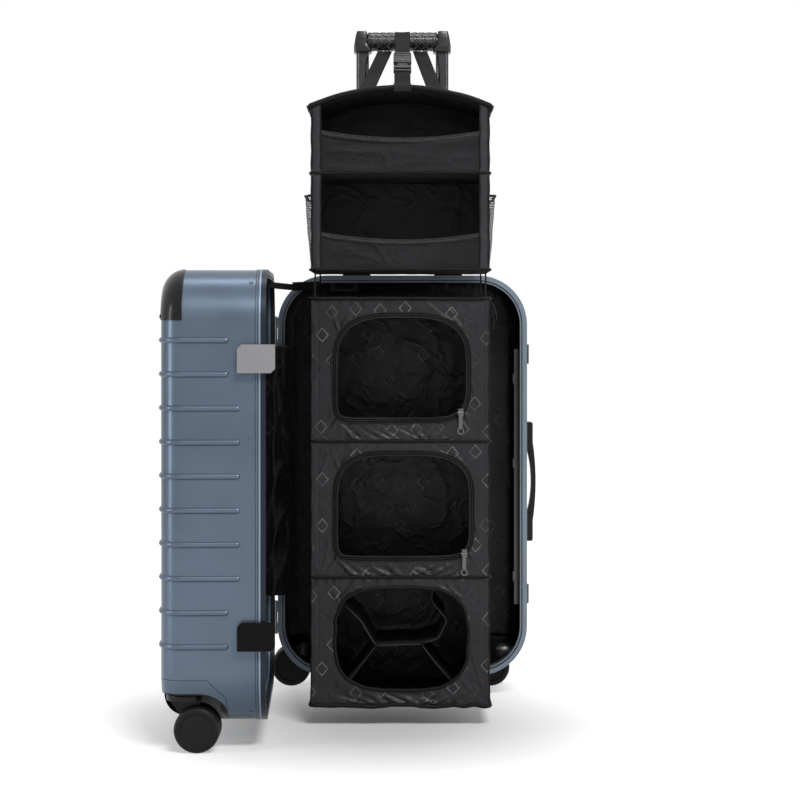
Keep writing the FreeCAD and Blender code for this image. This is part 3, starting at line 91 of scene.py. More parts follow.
# Each fabric-covered board, and the body that carries it
BOARDS = {
    "upper_shelf": "upper_shelf", "closet_base": "closet_base", "tier_top": "tier_top",
    "tier_shelf_1": "tier_1", "tier_shelf_2": "tier_2", "tier_floor": "tier_3",
}
BOARD_TOPS = {node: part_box(node)[1].z for node in BOARDS}
# The lower compartments' walls, and the boards above and below them
TIERS = (
    ("tier_walls_1", "tier_top", "tier_shelf_1"),
    ("tier_walls_2", "tier_shelf_1", "tier_shelf_2"),
    ("tier_walls_3", "tier_shelf_2", "tier_floor"),
)
# Their openings. The powers say how square the head and the foot's two corners are; 2 is round.
Opening = collections.namedtuple("Opening", "middle half foot head head_power left_power right_power")
OPENINGS = (
    Opening(-0.0010, 0.0915, 0.4275, 0.5710, 3.0, 11.0, 5.0),
    Opening(0.0015, 0.0935, 0.2350, 0.3785, 3.4, 11.0, 6.0),
    Opening(-0.0010, 0.0920, 0.0500, 0.1930, 3.3, 3.0, 3.0),
)
CASTERS = ("rear_left", "rear_right", "front_far", "front_near")
SIDES = ((-1, LEFT), (1, RIGHT))


# ------------------------------------------------------------ sizes and colours a user would change


def colour(name, description, value):
    return bpy.props.FloatVectorProperty(
        name=name, description=description, subtype="COLOR", size=3, min=0, max=1, default=value)


def length(name, description, value):
    return bpy.props.FloatProperty(
        name=name, description=description, default=value, min=0.0, unit="LENGTH", precision=4)


def watts(name, description, value):
    return bpy.props.FloatProperty(name=name, description=description, default=value, min=0.0, unit="POWER")


class TrunkColours(bpy.types.PropertyGroup):
    """Colours of the trunk's finishes, linear."""

    shell: colour("Shell", "Satin paint of both halves", (0.092, 0.123, 0.165))
    rim: colour("Rim", "Anodised rim frames", (0.165, 0.203, 0.250))
    fittings: colour("Fittings", "Moulded corner guards, handles and casters", (0.0080, 0.0080, 0.0082))
    tubes: colour("Tubes", "Anodised handle tubes and small metal parts", (0.055, 0.055, 0.058))
    latch: colour("Upper latch", "Brushed cover of the upper latch", (0.222, 0.224, 0.232))
    hinge: colour("Hinges", "Hinge leaves and screws", (0.40, 0.41, 0.43))
    closet: colour("Closet fabric", "Nylon of the closet", (0.0120, 0.0122, 0.0138))
    lining: colour("Lining", "Fabric inside both halves", (0.0085, 0.0082, 0.0085))
    webbing: colour("Webbing", "Straps and bindings", (0.0070, 0.0070, 0.0072))
    mesh: colour("Mesh", "Net of the pockets", (0.0170, 0.0175, 0.0192))
    zip: colour("Zip", "Coil and tape of the zips", (0.0120, 0.0120, 0.0130))


class TrunkFabric(bpy.types.PropertyGroup):
    """Sizes of the fabrics' detail."""

    thread: length("Thread", "Pitch of the closet fabric's threads", 0.0009)
    crease: length("Crease", "Depth of the creases in the closet's walls", 0.0034)
    print_spacing: length("Print spacing", "Distance between two lozenges of the print", 0.033)
    print_size: length("Print size", "Half the width of a printed lozenge", 0.0082)
    stitch: length("Stitch", "Pitch of the top stitching", 0.0034)
    teeth: length("Teeth", "Pitch of the zip coils", 0.0022)
    grip_pitch: length("Grip pitch", "Width of one lozenge on the grip", 0.0120)


class TrunkStudio(bpy.types.PropertyGroup):
    """Camera and lights."""

    distance: length("Distance", "Camera to the rim plane", 2.8)
    eye: length("Eye height", "Height of the camera", 0.559)
    lens: bpy.props.FloatProperty(
        name="Lens", description="Focal length in millimetres", default=84.0, min=10.0)
    key: watts("Key", "Power of the high front light", 118.0)
    strip: watts("Strips", "Power that each tall side strip is a multiple of", 8.0)
    top: watts("Top", "Power of the top light", 16.0)
    room: bpy.props.FloatProperty(
        name="Room", description="Strength of the light from all round", default=0.15, min=0.0)


# ------------------------------------------------------------ meshes


def deselect():
    """Nothing is selected or active, so that an operator only acts on what comes next."""
    for thing in list(bpy.context.selected_objects):
        thing.select_set(False)
    bpy.context.view_layer.objects.active = None


def choose(piece):
    deselect()
    piece.select_set(True)
    bpy.context.view_layer.objects.active = piece


def modify(piece, kind, **settings):
    """A modifier, applied as soon as it is set."""
    choose(piece)
    added = piece.modifiers.new(kind.title(), kind)
    for key, value in settings.items():
        setattr(added, key, value)
    bpy.ops.object.modifier_apply(modifier=added.name)


def thicken(piece, thickness):
    """A wall on both sides of a sheet."""
    modify(piece, "SOLIDIFY", thickness=thickness, offset=0)


def points_of(piece):
    co = np.empty(len(piece.data.vertices) * 3)
    piece.data.vertices.foreach_get("co", co)
    return co.reshape(-1, 3)


def put_points(piece, co):
    piece.data.vertices.foreach_set("co", np.ascontiguousarray(co, dtype=np.float64).ravel())
    piece.data.update()


def normals_of(piece):
    out = np.empty(len(piece.data.vertices) * 3)
    piece.data.vertex_normals.foreach_get("vector", out)
    return out.reshape(-1, 3)


def rename(piece, name):
    piece.name = piece.data.name = name


def xyz(x, y, z):
    """Points from their coordinates. One that is the same for all of them may be a plain number."""
    return np.stack(np.broadcast_arrays(x, y, z), axis=1)


def grid(name, columns, rows, place, size, relief=None, closed=False):
    """A sheet of columns by rows faces. place(u, v) gives its points and relief(u, v, points) how far each
    then stands out along the sheet's own normal. size is its width and length in metres, for its UV map."""
    deselect()
    bpy.ops.mesh.primitive_grid_add(x_subdivisions=columns, y_subdivisions=rows, size=2)
    piece = bpy.context.object
    rename(piece, name)
    flat = points_of(piece)
    u, v = (flat[:, 0] + 1) / 2, (flat[:, 1] + 1) / 2
    co = place(u, v)
    put_points(piece, co)
    if relief is not None:
        put_points(piece, co + normals_of(piece) * relief(u, v, co)[:, None])
    layer = piece.data.uv_layers[0].data
    uv = np.empty(len(layer) * 2)
    layer.foreach_get("uv", uv)
    uv = uv.reshape(-1, 2) * np.array(size)
    layer.foreach_set("uv", uv.ravel())
    if closed:
        merge(piece)
    choose(piece)
    bpy.ops.object.shade_smooth()
    return piece


def merge(piece, outwards=False):
    """Doubles merged, and the faces turned outwards if asked."""
    choose(piece)
    bpy.ops.object.mode_set(mode="EDIT")
    bpy.ops.mesh.select_all(action="SELECT")
    bpy.ops.mesh.remove_doubles(threshold=2e-6)
    if outwards:
        bpy.ops.mesh.normals_make_consistent(inside=False)
    bpy.ops.object.mode_set(mode="OBJECT")


def join(name, pieces):
    """Several meshes made one."""
    deselect()
    for piece in pieces:
        piece.select_set(True)
    bpy.context.view_layer.objects.active = pieces[0]
    bpy.ops.object.join()
    joined = bpy.context.object
    rename(joined, name)
    return joined


def rounded(corners, radius, closed=False, steps=6):
    """Points of straight runs through the corners, each corner rounded."""
    corners = [np.array(c, float) for c in corners]
    points, count = [], len(corners)
    for i, corner in enumerate(corners):
        if not closed and i in (0, count - 1):
            points.append(corner)
            continue
        a, b = corners[i - 1] - corner, corners[(i + 1) % count] - corner
        a, b = a / np.linalg.norm(a), b / np.linalg.norm(b)
        half = math.acos(float(np.clip(a @ b, -1, 1))) / 2
        reach = radius / math.tan(half)
        middle = a + b
        centre = corner + middle / np.linalg.norm(middle) * radius / math.sin(half)
        for t in np.linspace(0, 1, steps):
            spoke = corner + (a * (1 - t) + b * t) * reach - centre
            points.append(centre + spoke / np.linalg.norm(spoke) * radius)
    if closed:
        points.append(points[0])
    return np.array(points)


def walk(points, t):
    """Places at shares t of the way along the points."""
    steps = np.concatenate([[0], np.cumsum(np.linalg.norm(np.diff(points, axis=0), axis=1))])
    return np.stack([np.interp(t * steps[-1], steps, points[:, k]) for k in range(points.shape[1])], axis=1)


def span(points):
    return float(np.linalg.norm(np.diff(points, axis=0), axis=1).sum())


def noise(points, seed=0):
    """Smooth noise from -1 to 1 at each point. The large odd numbers scramble the cells."""
    cell = np.floor(points).astype(np.int64)
    t = points - cell
    t = t * t * (3 - 2 * t)
    total = np.zeros(len(points))
    for corner in itertools.product((0, 1), repeat=3):
        c = cell + np.array(corner)
        h = (c[:, 0] * 73856093) ^ (c[:, 1] * 19349663) ^ (c[:, 2] * 83492791) ^ (seed * 2654435)
        h = ((h ^ (h >> 13)) * 1274126177) & 0x7FFFFFFF
        h = ((h ^ (h >> 15)) * 362437) & 0x7FFFFFFF
        total += np.prod(np.where(np.array(corner), t, 1 - t), axis=1) * (h / 0x3FFFFFFF - 1)
    return total


def creases(points, scale, seed=0):
    """Sharp folds and slack cloth between them, from 0 to 1. scale is the folds' spacing in X, Y and Z."""
    p = points / np.array(scale)
    bend = np.stack([noise(p * 0.7, seed + k) for k in (1, 2, 3)], axis=1)
    broad = 1 - np.abs(noise(p + 0.8 * bend, seed))
    fine = 1 - np.abs(noise(p * 2.3 + 1.3 * bend, seed + 7))
    return 0.7 * broad ** 3 + 0.3 * fine ** 3


def held_ends(u, steepness):
    """0 at both ends of a sheet and 1 from a little way in."""
    return np.minimum(1, np.minimum(u, 1 - u) * steepness)


def folds(x, z, lines):
    """Pinched folds along lines (x0, z0, x1, z1, width, height). Each fades towards its second end."""
    total = np.zeros(len(x))
    for x0, z0, x1, z1, width, height in lines:
        dx, dz = x1 - x0, z1 - z0
        run = math.hypot(dx, dz)
        t = ((x - x0) * dx + (z - z0) * dz) / run ** 2
        side = ((x - x0) * dz - (z - z0) * dx) / run
        fade = np.clip(1.15 - t, 0, 1) * np.clip(t * 6 + 1, 0, 1) * (t < 1.15)
        ridge = np.exp(-(side / width) ** 2) - 0.7 * np.exp(-((side - 1.6 * width) / width) ** 2)
        total += height * fade * ridge
    return total


def tube(name, path, radius, closed=False, sides=8, steps=None, tip=True):
    """A round cord or piping along a path, its ends drawn in unless tip is off."""
    path = np.array(path, float)
    run = span(path)
    steps = steps or max(8, int(run / 0.004))
    level = np.ptp(path[:, 2]) < 0.02 and np.ptp(path[:, 1]) > 0.02
    guide = np.array([(0.31, 0.17, 0.93) if level else (0.13, 0.97, 0.21)])  # never in line with the path
    near = 0.004  # share of the path over which its direction is taken

    def place(u, v):
        centre = walk(path, v)
        if closed:
            ahead = walk(path, (v + near) % 1) - walk(path, (v - near) % 1)
        else:
            ahead = walk(path, np.clip(v + near, 0, 1)) - walk(path, np.clip(v - near, 0, 1))
        ahead /= np.linalg.norm(ahead, axis=1)[:, None]
        side = np.cross(ahead, guide)
        side /= np.linalg.norm(side, axis=1)[:, None]
        up = np.cross(side, ahead)
        angle = (2 * math.pi * u)[:, None]
        size = np.full(len(u), radius)
        if tip and not closed:
            size = radius * np.sqrt(np.clip(np.minimum(v, 1 - v) * run / radius, 0.0, 1))
        return centre + (side * np.cos(angle) + up * np.sin(angle)) * size[:, None]

    return grid(name, sides, steps, place, (2 * math.pi * radius, run), closed=True)


def squircle(angle, half_x, half_z, power):
    """Points on an oval that squares up as the power grows from 2."""
    c, s = np.cos(angle), np.sin(angle)
    return half_x * np.sign(c) * np.abs(c) ** (2 / power), half_z * np.sign(s) * np.abs(s) ** (2 / power)


def loft(name, sections, power=5.0, around=72, rows=90):
    """A closed body through rounded sections, each a height, centre X, centre Y, half width, half depth."""
    sections = np.array(sections, float)

    def place(u, v):
        height, centre_x, centre_y, half_x, half_y = walk(sections, v).T
        x, y = squircle(2 * math.pi * u, half_x, half_y, power)
        return xyz(centre_x + x, centre_y + y, height)

    made = grid(name, around, rows, place, (0.1, 0.05), closed=True)
    merge(made, outwards=True)
    return made


def plate(name, outline, thick, lift, seat, bevel=0.0006):
    """A flat plate with rounded edges. outline is in millimetres across and along; seat is its origin and the
    directions across, along and out of the plate."""
    deselect()
    bpy.ops.mesh.primitive_circle_add(vertices=len(outline), radius=1, fill_type="NGON")
    piece = bpy.context.object
    rename(piece, name)
    origin, across, along, out = seat
    put_points(piece, [origin + a / 1000 * across + b / 1000 * along + lift * out for a, b in outline])
    thicken(piece, thick)
    merge(piece, outwards=True)
    modify(piece, "BEVEL", width=bevel, segments=3, limit_method="ANGLE", angle_limit=math.radians(25))
    choose(piece)
    bpy.ops.object.shade_smooth_by_angle(angle=math.radians(40))
    return piece


def strap(name, path, width, thick, across=(1, 0, 0), seed=0, ripple=0.0003):
    """Flat webbing along a path, its width along one direction and its middle a little proud."""
    path = rounded(path, 0.004) if len(path) > 2 else np.array(path, float)
    run = span(path)
    across = np.array(across, float)
    pitch, crown = 0.003, 0.0004

    def place(u, v):
        return walk(path, v) + (u - 0.5)[:, None] * width * across

    def relief(u, v, co):
        return ripple * noise(co * 60, seed) + crown * np.cos((u - 0.5) * math.pi)

    made = grid(name, max(4, round(width / pitch)), max(6, round(run / pitch)), place, (width, run), relief)
    thicken(made, thick)
    return made


def unwrap(piece):
    """A UV map in metres, laid on each face along the axis that it faces."""
    mesh = piece.data
    if not mesh.uv_layers:
        mesh.uv_layers.new(name="UVMap")
    loops = np.empty(len(mesh.loops), dtype=np.int64)
    mesh.loops.foreach_get("vertex_index", loops)
    counts = np.empty(len(mesh.polygons), dtype=np.int64)
    mesh.polygons.foreach_get("loop_total", counts)
    faces = np.empty(len(mesh.polygons) * 3)
    mesh.polygons.foreach_get("normal", faces)
    facing = np.repeat(np.argmax(np.abs(faces.reshape(-1, 3)), axis=1), counts)
    x, y, z = points_of(piece)[loops].T
    uv = np.stack([np.where(facing == 0, y, x), np.where(facing == 2, y, z)], axis=1)
    mesh.uv_layers[0].data.foreach_set("uv", uv.ravel())


def slack_copy(node, name, pitch, depth, seed):
    """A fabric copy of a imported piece, cut into small faces and creased towards its middle."""
    low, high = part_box(node)
    copy = bpy.data.objects.new(name, frame["nodes"][node].data.copy())
    bpy.context.scene.collection.objects.link(copy)
    merge(copy)
    bpy.ops.object.mode_set(mode="EDIT")
    for axis in range(3):
        for cut in np.arange(low[axis] + pitch / 2, high[axis], pitch):
            bpy.ops.mesh.select_all(action="SELECT")
            point, normal = [0.0, 0.0, 0.0], [0.0, 0.0, 0.0]
            point[axis], normal[axis] = float(cut), 1.0
            bpy.ops.mesh.bisect(plane_co=point, plane_no=normal)
    bpy.ops.mesh.select_all(action="SELECT")
    bpy.ops.mesh.remove_doubles(threshold=1e-5)
    bpy.ops.object.mode_set(mode="OBJECT")
    co = points_of(copy)
    inward = (np.array(low) + np.array(high)) / 2 - co
    inward /= np.linalg.norm(inward, axis=1)[:, None]
    put_points(copy, co + inward * (depth * creases(co, (0.06, 0.06, 0.06), seed))[:, None])
    unwrap(copy)
    choose(copy)
    bpy.ops.object.shade_smooth_by_angle(angle=math.radians(50))
    return copy


# ------------------------------------------------------------ node wiring


class Value:
    """What a node puts out. Arithmetic on it adds Math nodes to the same tree."""

    def __init__(self, socket):
        self.socket = socket

    def __add__(self, other):
        return math_node("ADD", self, other)

    def __radd__(self, other):
        return math_node("ADD", other, self)

    def __sub__(self, other):
        return math_node("SUBTRACT", self, other)

    def __rsub__(self, other):
        return math_node("SUBTRACT", other, self)

    def __mul__(self, other):
        return math_node("MULTIPLY", self, other)

    def __truediv__(self, other):
        return math_node("DIVIDE", self, other)

    def __mod__(self, other):
        return math_node("MODULO", self, other)

    def __abs__(self):
        return math_node("ABSOLUTE", self)

    def clamped(self):
        """The same sum, kept from 0 to 1."""
        self.socket.node.use_clamp = True
        return self


def put(socket, value):
    """A value linked to a socket, or a number, colour or vector set on it."""
    if isinstance(value, Value):
        socket.id_data.links.new(value.socket, socket)
    else:
        socket.default_value = value


def math_node(operation, *values):
    tree = next(value.socket.id_data for value in values if isinstance(value, Value))
    made = tree.nodes.new("ShaderNodeMath")
    made.operation = operation
    for socket, value in zip(made.inputs, values):
        put(socket, value)
    return Value(made.outputs[0])


class Wiring:
    """Adds nodes to one tree."""

    def __init__(self, tree):
        self.tree = tree

    def node(self, kind, inputs=(), **settings):
        """A node with its settings, and its inputs as pairs of a name or number and a value."""
        made = self.tree.nodes.new("ShaderNode" + kind)
        for key, value in settings.items():
            setattr(made, key, value)
        for key, value in inputs:
            put(made.inputs[key], value)
        return made

    def out(self, kind, output=0, inputs=(), **settings):
        """The value that a new node puts out."""
        return Value(self.node(kind, inputs, **settings).outputs[output])

    def noise(self, vector, scale, detail=3.0, roughness=0.5, distortion=0.0):
        inputs = {
            "Vector": vector, "Scale": scale, "Detail": detail, "Roughness": roughness,
            "Distortion": distortion,
        }
        return self.out("TexNoise", 0, inputs.items())

    def split(self, vector):
        made = self.node("SeparateXYZ", [(0, vector)])
        return [Value(output) for output in made.outputs]

    def dot(self, first, second):
        return self.out("VectorMath", "Value", enumerate((first, second)), operation="DOT_PRODUCT")

    def ramp(self, value, low, high, to_low=0.0, to_high=1.0):
        """An eased step as the value goes from low to high."""
        return self.out(
            "MapRange", 0, enumerate((value, low, high, to_low, to_high)), interpolation_type="SMOOTHSTEP")

    def blend(self, share, first, second):
        """Two colours mixed."""
        return self.out("Mix", 2, [("Factor", share), (6, first), (7, second)], data_type="RGBA")

    def use(self, group, **values):
        """One of the shared effects, placed with its own values, as its outputs by name."""
        made = self.node("Group", node_tree=group())
        for key, value in values.items():
            put(made.inputs[key], value)
        return {output.name: Value(output) for output in made.outputs}


def effect(name, inputs, outputs):
    """Makes a function a shared node group, built when it is first used. inputs are names and defaults."""
    def wrap(build):
        def group():
            tree = bpy.data.node_groups.get(name)
            if tree:
                return tree
            tree = bpy.data.node_groups.new(name, "ShaderNodeTree")
            for label, value in inputs.items():
                kind = "NodeSocketVector" if isinstance(value, tuple) else "NodeSocketFloat"
                tree.interface.new_socket(label, in_out="INPUT", socket_type=kind).default_value = value
            for label in outputs:
                tree.interface.new_socket(label, in_out="OUTPUT", socket_type="NodeSocketFloat")
            entry, leave = tree.nodes.new("NodeGroupInput"), tree.nodes.new("NodeGroupOutput")
            given = {socket.name: Value(socket) for socket in entry.outputs if socket.name}
            for socket, value in zip(leave.inputs, build(Wiring(tree), **given)):
                put(socket, value)
            return tree

        return group

    return wrap


ORIGIN = (0.0, 0.0, 0.0)


@effect("Plain Weave", {"Vector": ORIGIN, "Thread": 0.0009}, ("Height", "Tone"))
def plain_weave(w, Vector, Thread):
    x, y, _ = w.split(Vector)
    warp, weft = (math_node("SINE", across * math.pi / Thread) for across in (x, y))
    over = math_node("GREATER_THAN", warp * weft, 0.0)
    height = abs(warp) * over + abs(weft) * (1.0 - over)
    slub = w.noise(Vector, 420.0, 2.0)
    # Tone is lower where the threads lie low: painted shade between the threads, with random slub on top
    return height, (0.75 + height * 0.35) * (0.8 + slub * 0.4)


@effect("Lozenge Print", {"Vector": ORIGIN, "Spacing": 0.034, "Size": 0.0066}, ("Mask",))
def lozenge_print(w, Vector, Spacing, Size):
    x, y, _ = w.split(Vector)
    row = math_node("FLOOR", y / Spacing)
    column = x / Spacing + row % 2.0 * 0.5
    cell = w.out("CombineXYZ", 0, [(0, math_node("FLOOR", column)), (1, row)])
    pick = w.node("TexWhiteNoise", [("Vector", cell)])
    stray_x, stray_y, _ = w.split(Value(pick.outputs["Color"]))
    off_x = math_node("FRACT", column) - (0.35 + stray_x * 0.30)
    off_y = math_node("FRACT", y / Spacing) - (0.35 + stray_y * 0.30)
    reach = abs(off_x) * Spacing / Size + abs(off_y) * Spacing / (Size * 1.15)
    line = w.ramp(abs(reach - 1.0), 0.06, 0.15, 1.0, 0.0)
    strength = w.ramp(Value(pick.outputs[0]), 0.25, 0.9)
    worn = w.ramp(w.noise(Vector, 60.0), 0.35, 0.6)
    return [(line * strength * (0.35 + worn * 0.65)).clamped()]


@effect("Soft Creases", {"Vector": ORIGIN, "Scale": 18.0}, ("Height", "Mottle"))
def soft_creases(w, Vector, Scale):
    broad = w.noise(Vector, Scale, 2.5, 0.5, 0.5)
    ridge = math_node("POWER", (1.0 - abs(broad - 0.5) * 5.0).clamped(), 3.0)
    mottle = w.noise(Vector, Scale * 0.45, 2.0)
    return ridge * 0.6 + broad * 0.4, w.ramp(mottle, 0.3, 0.7)


@effect("Moulded Grain", {"Vector": ORIGIN, "Scale": 900.0}, ("Height", "Cloud"))
def moulded_grain(w, Vector, Scale):
    return w.noise(Vector, Scale, 3.0, 0.6), w.ramp(w.noise(Vector, 9.0, 3.0, 0.55), 0.3, 0.7)


@effect("Edge Wear", {"Vector": ORIGIN, "Radius": 0.0015}, ("Mask",))
def edge_wear(w, Vector, Radius):
    softened = w.out("Bevel", 0, [("Radius", Radius)], samples=4)
    sharp = w.ramp(1.0 - w.dot(softened, w.out("NewGeometry", "Normal")), 0.02, 0.22)
    rub = w.ramp(w.noise(Vector, 140.0, 4.0, 0.65), 0.42, 0.62)
    return [(sharp * rub).clamped()]


@effect("Webbing Ribs", {"Vector": ORIGIN, "Pitch": 0.0016}, ("Height", "Tone"))
def webbing_ribs(w, Vector, Pitch):
    x, y, _ = w.split(Vector)
    rib = abs(math_node("SINE", y * math.pi / Pitch))
    warp = abs(math_node("SINE", x * math.pi / (Pitch * 0.6)))
    height = rib * (0.55 + warp * 0.45)
    # Tone follows the ribs' height: painted shade in the valleys between the ribs
    return height, 0.65 + height * 0.55


@effect(
    "Stitch Row", {"Along": 0.0, "Across": 0.0, "At": 0.0, "Pitch": 0.0034, "Width": 0.0006},
    ("Mask", "Height"))
def stitch_row(w, Along, Across, At, Pitch, Width):
    beat = math_node("FRACT", Along / Pitch)
    dash = w.ramp(beat, 0.0, 0.12) * w.ramp(beat, 0.62, 0.74, 1.0, 0.0)
    near = abs(Across - At)
    mask = dash * w.ramp(near, Width * 0.35, Width, 1.0, 0.0)
    return mask, mask * 1.4 - w.ramp(near, 0.0, 0.0024, 1.0, 0.0)


@effect("Brushed Lines", {"Vector": ORIGIN, "Stretch": (1.0, 1.0, 30.0)}, ("Height", "Tone"))
def brushed_lines(w, Vector, Stretch):
    line = w.noise(w.out("Mapping", 0, [("Vector", Vector), ("Scale", Stretch)]), 60.0, 4.0, 0.6)
    return line, w.ramp(line, 0.3, 0.7)


@effect("Net Holes", {"Vector": ORIGIN, "Pitch": 0.0018, "Hole": 0.28}, ("Thread", "Height"))
def net_holes(w, Vector, Pitch, Hole):
    x, y, _ = w.split(Vector)
    squeeze = 0.87  # rows stand closer than holes, as on a honeycomb
    rise = y / (Pitch * squeeze)
    across = math_node("FRACT", x / Pitch + math_node("FLOOR", rise) % 2.0 * 0.5) - 0.5
    up = (math_node("FRACT", rise) - 0.5) * squeeze
    reach = math_node("SQRT", across * across + up * up)
    thread = w.ramp(reach, Hole - 0.05, Hole + 0.05)
    return thread, thread * w.ramp(reach, 0.3, 0.6, 0.4, 1.0)


# ------------------------------------------------------------ finishes


def start(name, roughness, metallic=0.0, specular=0.5, sheen=0.0):
    """A new material with its shader, its wiring, and its object and UV coordinates."""
    made = bpy.data.materials.new(name)
    made.use_nodes = True
    shader = made.node_tree.nodes["Principled BSDF"]
    shader.inputs["Roughness"].default_value = roughness
    shader.inputs["Metallic"].default_value = metallic
    shader.inputs["Specular IOR Level"].default_value = specular
    if sheen:
        shader.inputs["Sheen Weight"].default_value = sheen
        shader.inputs["Sheen Roughness"].default_value = 0.4
    wiring = Wiring(made.node_tree)
    place = wiring.node("TexCoord")
    return made, shader.inputs, wiring, Value(place.outputs["Object"]), Value(place.outputs["UV"])


def raise_surface(w, sockets, *layers):
    """Bumps one over another. Each layer is (height, distance in metres, strength)."""
    below = []
    for height, distance, strength in layers:
        inputs = [("Height", height), ("Distance", distance), ("Strength", strength), *below]
        below = [("Normal", w.out("Bump", 0, inputs))]
    put(sockets["Normal"], below[0][1])


def rgba(three, by=1.0):
    return (min(1, three[0] * by), min(1, three[1] * by), min(1, three[2] * by), 1.0)


def scaled(three, by):
    return rgba(three, by)[:3]


def painted(name, tint, roughness, grain, wear, worn=2.2, metallic=0.0, specular=0.5):
    """Paint or moulded plastic: fine grain, slow changes of tone, and rubbed edges."""
    made, sockets, w, place, _ = start(name, roughness, metallic, specular)
    texture = w.use(moulded_grain, Vector=place, Scale=grain)
    rubbed = w.use(edge_wear, Vector=place, Radius=0.0012)["Mask"]
    base = w.blend(texture["Cloud"], rgba(tint, 0.93), rgba(tint, 1.07))
    put(sockets["Base Color"], w.blend(rubbed * wear, base, rgba(tint, worn)))
    put(sockets["Roughness"], roughness - 0.01 + texture["Cloud"] * 0.04)
    raise_surface(w, sockets, (texture["Height"], 0.00008, 0.45))
    return made


def brushed(name, tint, roughness, stretch):
    """Brushed or anodised metal."""
    made, sockets, w, place, _ = start(name, roughness, 1.0)
    lines = w.use(brushed_lines, Vector=place, Stretch=stretch)
    rubbed = w.use(edge_wear, Vector=place, Radius=0.0010)["Mask"]
    base = w.blend(lines["Tone"], rgba(tint, 0.88), rgba(tint, 1.12))
    put(sockets["Base Color"], w.blend(rubbed * 0.6, base, rgba(tint, 2.4)))
    put(sockets["Roughness"], roughness - 0.07 + lines["Tone"] * 0.14)
    raise_surface(w, sockets, (lines["Height"], 0.00004, 0.4))
    return made


def rim_edge(name, tint, mouth, offset):
    """Anodised frame with a painted shade band at its mouth, a painted highlight along its lip, and two fine
    grooves that are bumped and darkened with painted shade. mouth is the direction that the mouth faces, and
    offset its place along that."""
    made, sockets, w, place, _ = start(name, 0.36, 0.35, 0.3)
    texture = w.use(moulded_grain, Vector=place, Scale=1400.0)
    deep = offset - w.dot(place, mouth)
    # Painted shade: the band nearest the mouth turns a near black blue
    mouth_shade = w.ramp(deep, 0.0064, 0.0070, 1.0, 0.0)
    # Painted highlight: a bright band along the lip
    lip_highlight = w.ramp(deep, 0.0066, 0.0071) * w.ramp(deep, 0.0080, 0.0086, 1.0, 0.0)
    first, second = (w.ramp(abs(deep - at), 0.0003, 0.0007, 1.0, 0.0) for at in (0.0103, 0.0130))
    groove_and_shade = (first + second).clamped()
    base = w.blend(texture["Cloud"], rgba(tint, 0.93), rgba(tint, 1.07))
    # Painted shade darkens the grooves
    base = w.blend(groove_and_shade * 0.75, base, rgba(tint, 0.15))
    base = w.blend(mouth_shade, base, (0.010, 0.014, 0.022, 1.0))
    put(sockets["Base Color"], w.blend(lip_highlight, base, rgba(tint, 2.6)))
    raise_surface(w, sockets, (1.0 - groove_and_shade, 0.0004, 0.8), (texture["Height"], 0.00006, 0.3))
    return made


def cloth(
        name, tint, roughness, sheen=0.03, printed=0.0, crease=18.0, rows=(), row_width=0.0006, row_tone=2.8):
    """Woven nylon with a faint print, slow changes of tone and rows of stitches at given UV places."""
    fabric = bpy.context.scene.trunk_fabric
    made, sockets, w, place, uv = start(name, roughness, 0.0, 0.22, sheen)
    weave = w.use(plain_weave, Vector=uv, Thread=fabric.thread)
    slack = w.use(soft_creases, Vector=place, Scale=crease)
    base = w.blend(slack["Mottle"], rgba(tint, 0.82), rgba(tint, 1.18))
    # Painted shade between the weave's threads, darker where they lie low
    base = w.blend((1.0 - weave["Tone"]).clamped() * 0.7, base, rgba(tint, 0.45))
    layers = [(slack["Height"], 0.0018, 0.6), (weave["Height"], 0.00012, 0.35)]
    if printed:
        mask = w.use(lozenge_print, Vector=uv, Spacing=fabric.print_spacing, Size=fabric.print_size)["Mask"]
        base = w.blend((mask * printed).clamped(), base, (0.15, 0.15, 0.155, 1.0))
        put(sockets["Roughness"], roughness - mask * 0.2)
    u, v, _ = w.split(uv)
    for side, at in rows:
        along, across = (v, u) if side == "u" else (u, v)
        row = w.use(stitch_row, Along=along, Across=across, At=at, Pitch=fabric.stitch, Width=row_width)
        base = w.blend(row["Mask"] * 0.75, base, rgba(tint, row_tone))
        layers.append((row["Height"], 0.0003, 0.6))
    put(sockets["Base Color"], base)
    raise_surface(w, sockets, *layers)
    return made


def ribbed(name, tint, pitch, roughness=0.75):
    """Webbing and bindings."""
    made, sockets, w, place, uv = start(name, roughness, 0.0, 0.06)
    ribs = w.use(webbing_ribs, Vector=uv, Pitch=pitch)
    slack = w.use(soft_creases, Vector=place, Scale=45.0)
    base = w.blend(slack["Mottle"], rgba(tint, 0.85), rgba(tint, 1.15))
    # Painted shade in the valleys between the ribs
    put(sockets["Base Color"], w.blend((1.0 - ribs["Tone"]).clamped(), base, rgba(tint, 0.4)))
    raise_surface(w, sockets, (slack["Height"], 0.0004, 0.3), (ribs["Height"], 0.0002, 0.6))
    return made


def netting(name, tint, pitch, hole):
    """Open mesh: threads with see-through holes."""
    made, sockets, w, place, uv = start(name, 0.6, 0.0, 0.2)
    net = w.use(net_holes, Vector=uv, Pitch=pitch, Hole=hole)
    slack = w.use(soft_creases, Vector=place, Scale=26.0)
    put(sockets["Base Color"], w.blend(slack["Mottle"], rgba(tint, 0.7), rgba(tint, 1.3)))
    put(sockets["Alpha"], net["Thread"])
    raise_surface(w, sockets, (slack["Height"], 0.0008, 0.4), (net["Height"], 0.0002, 0.5))
    return made


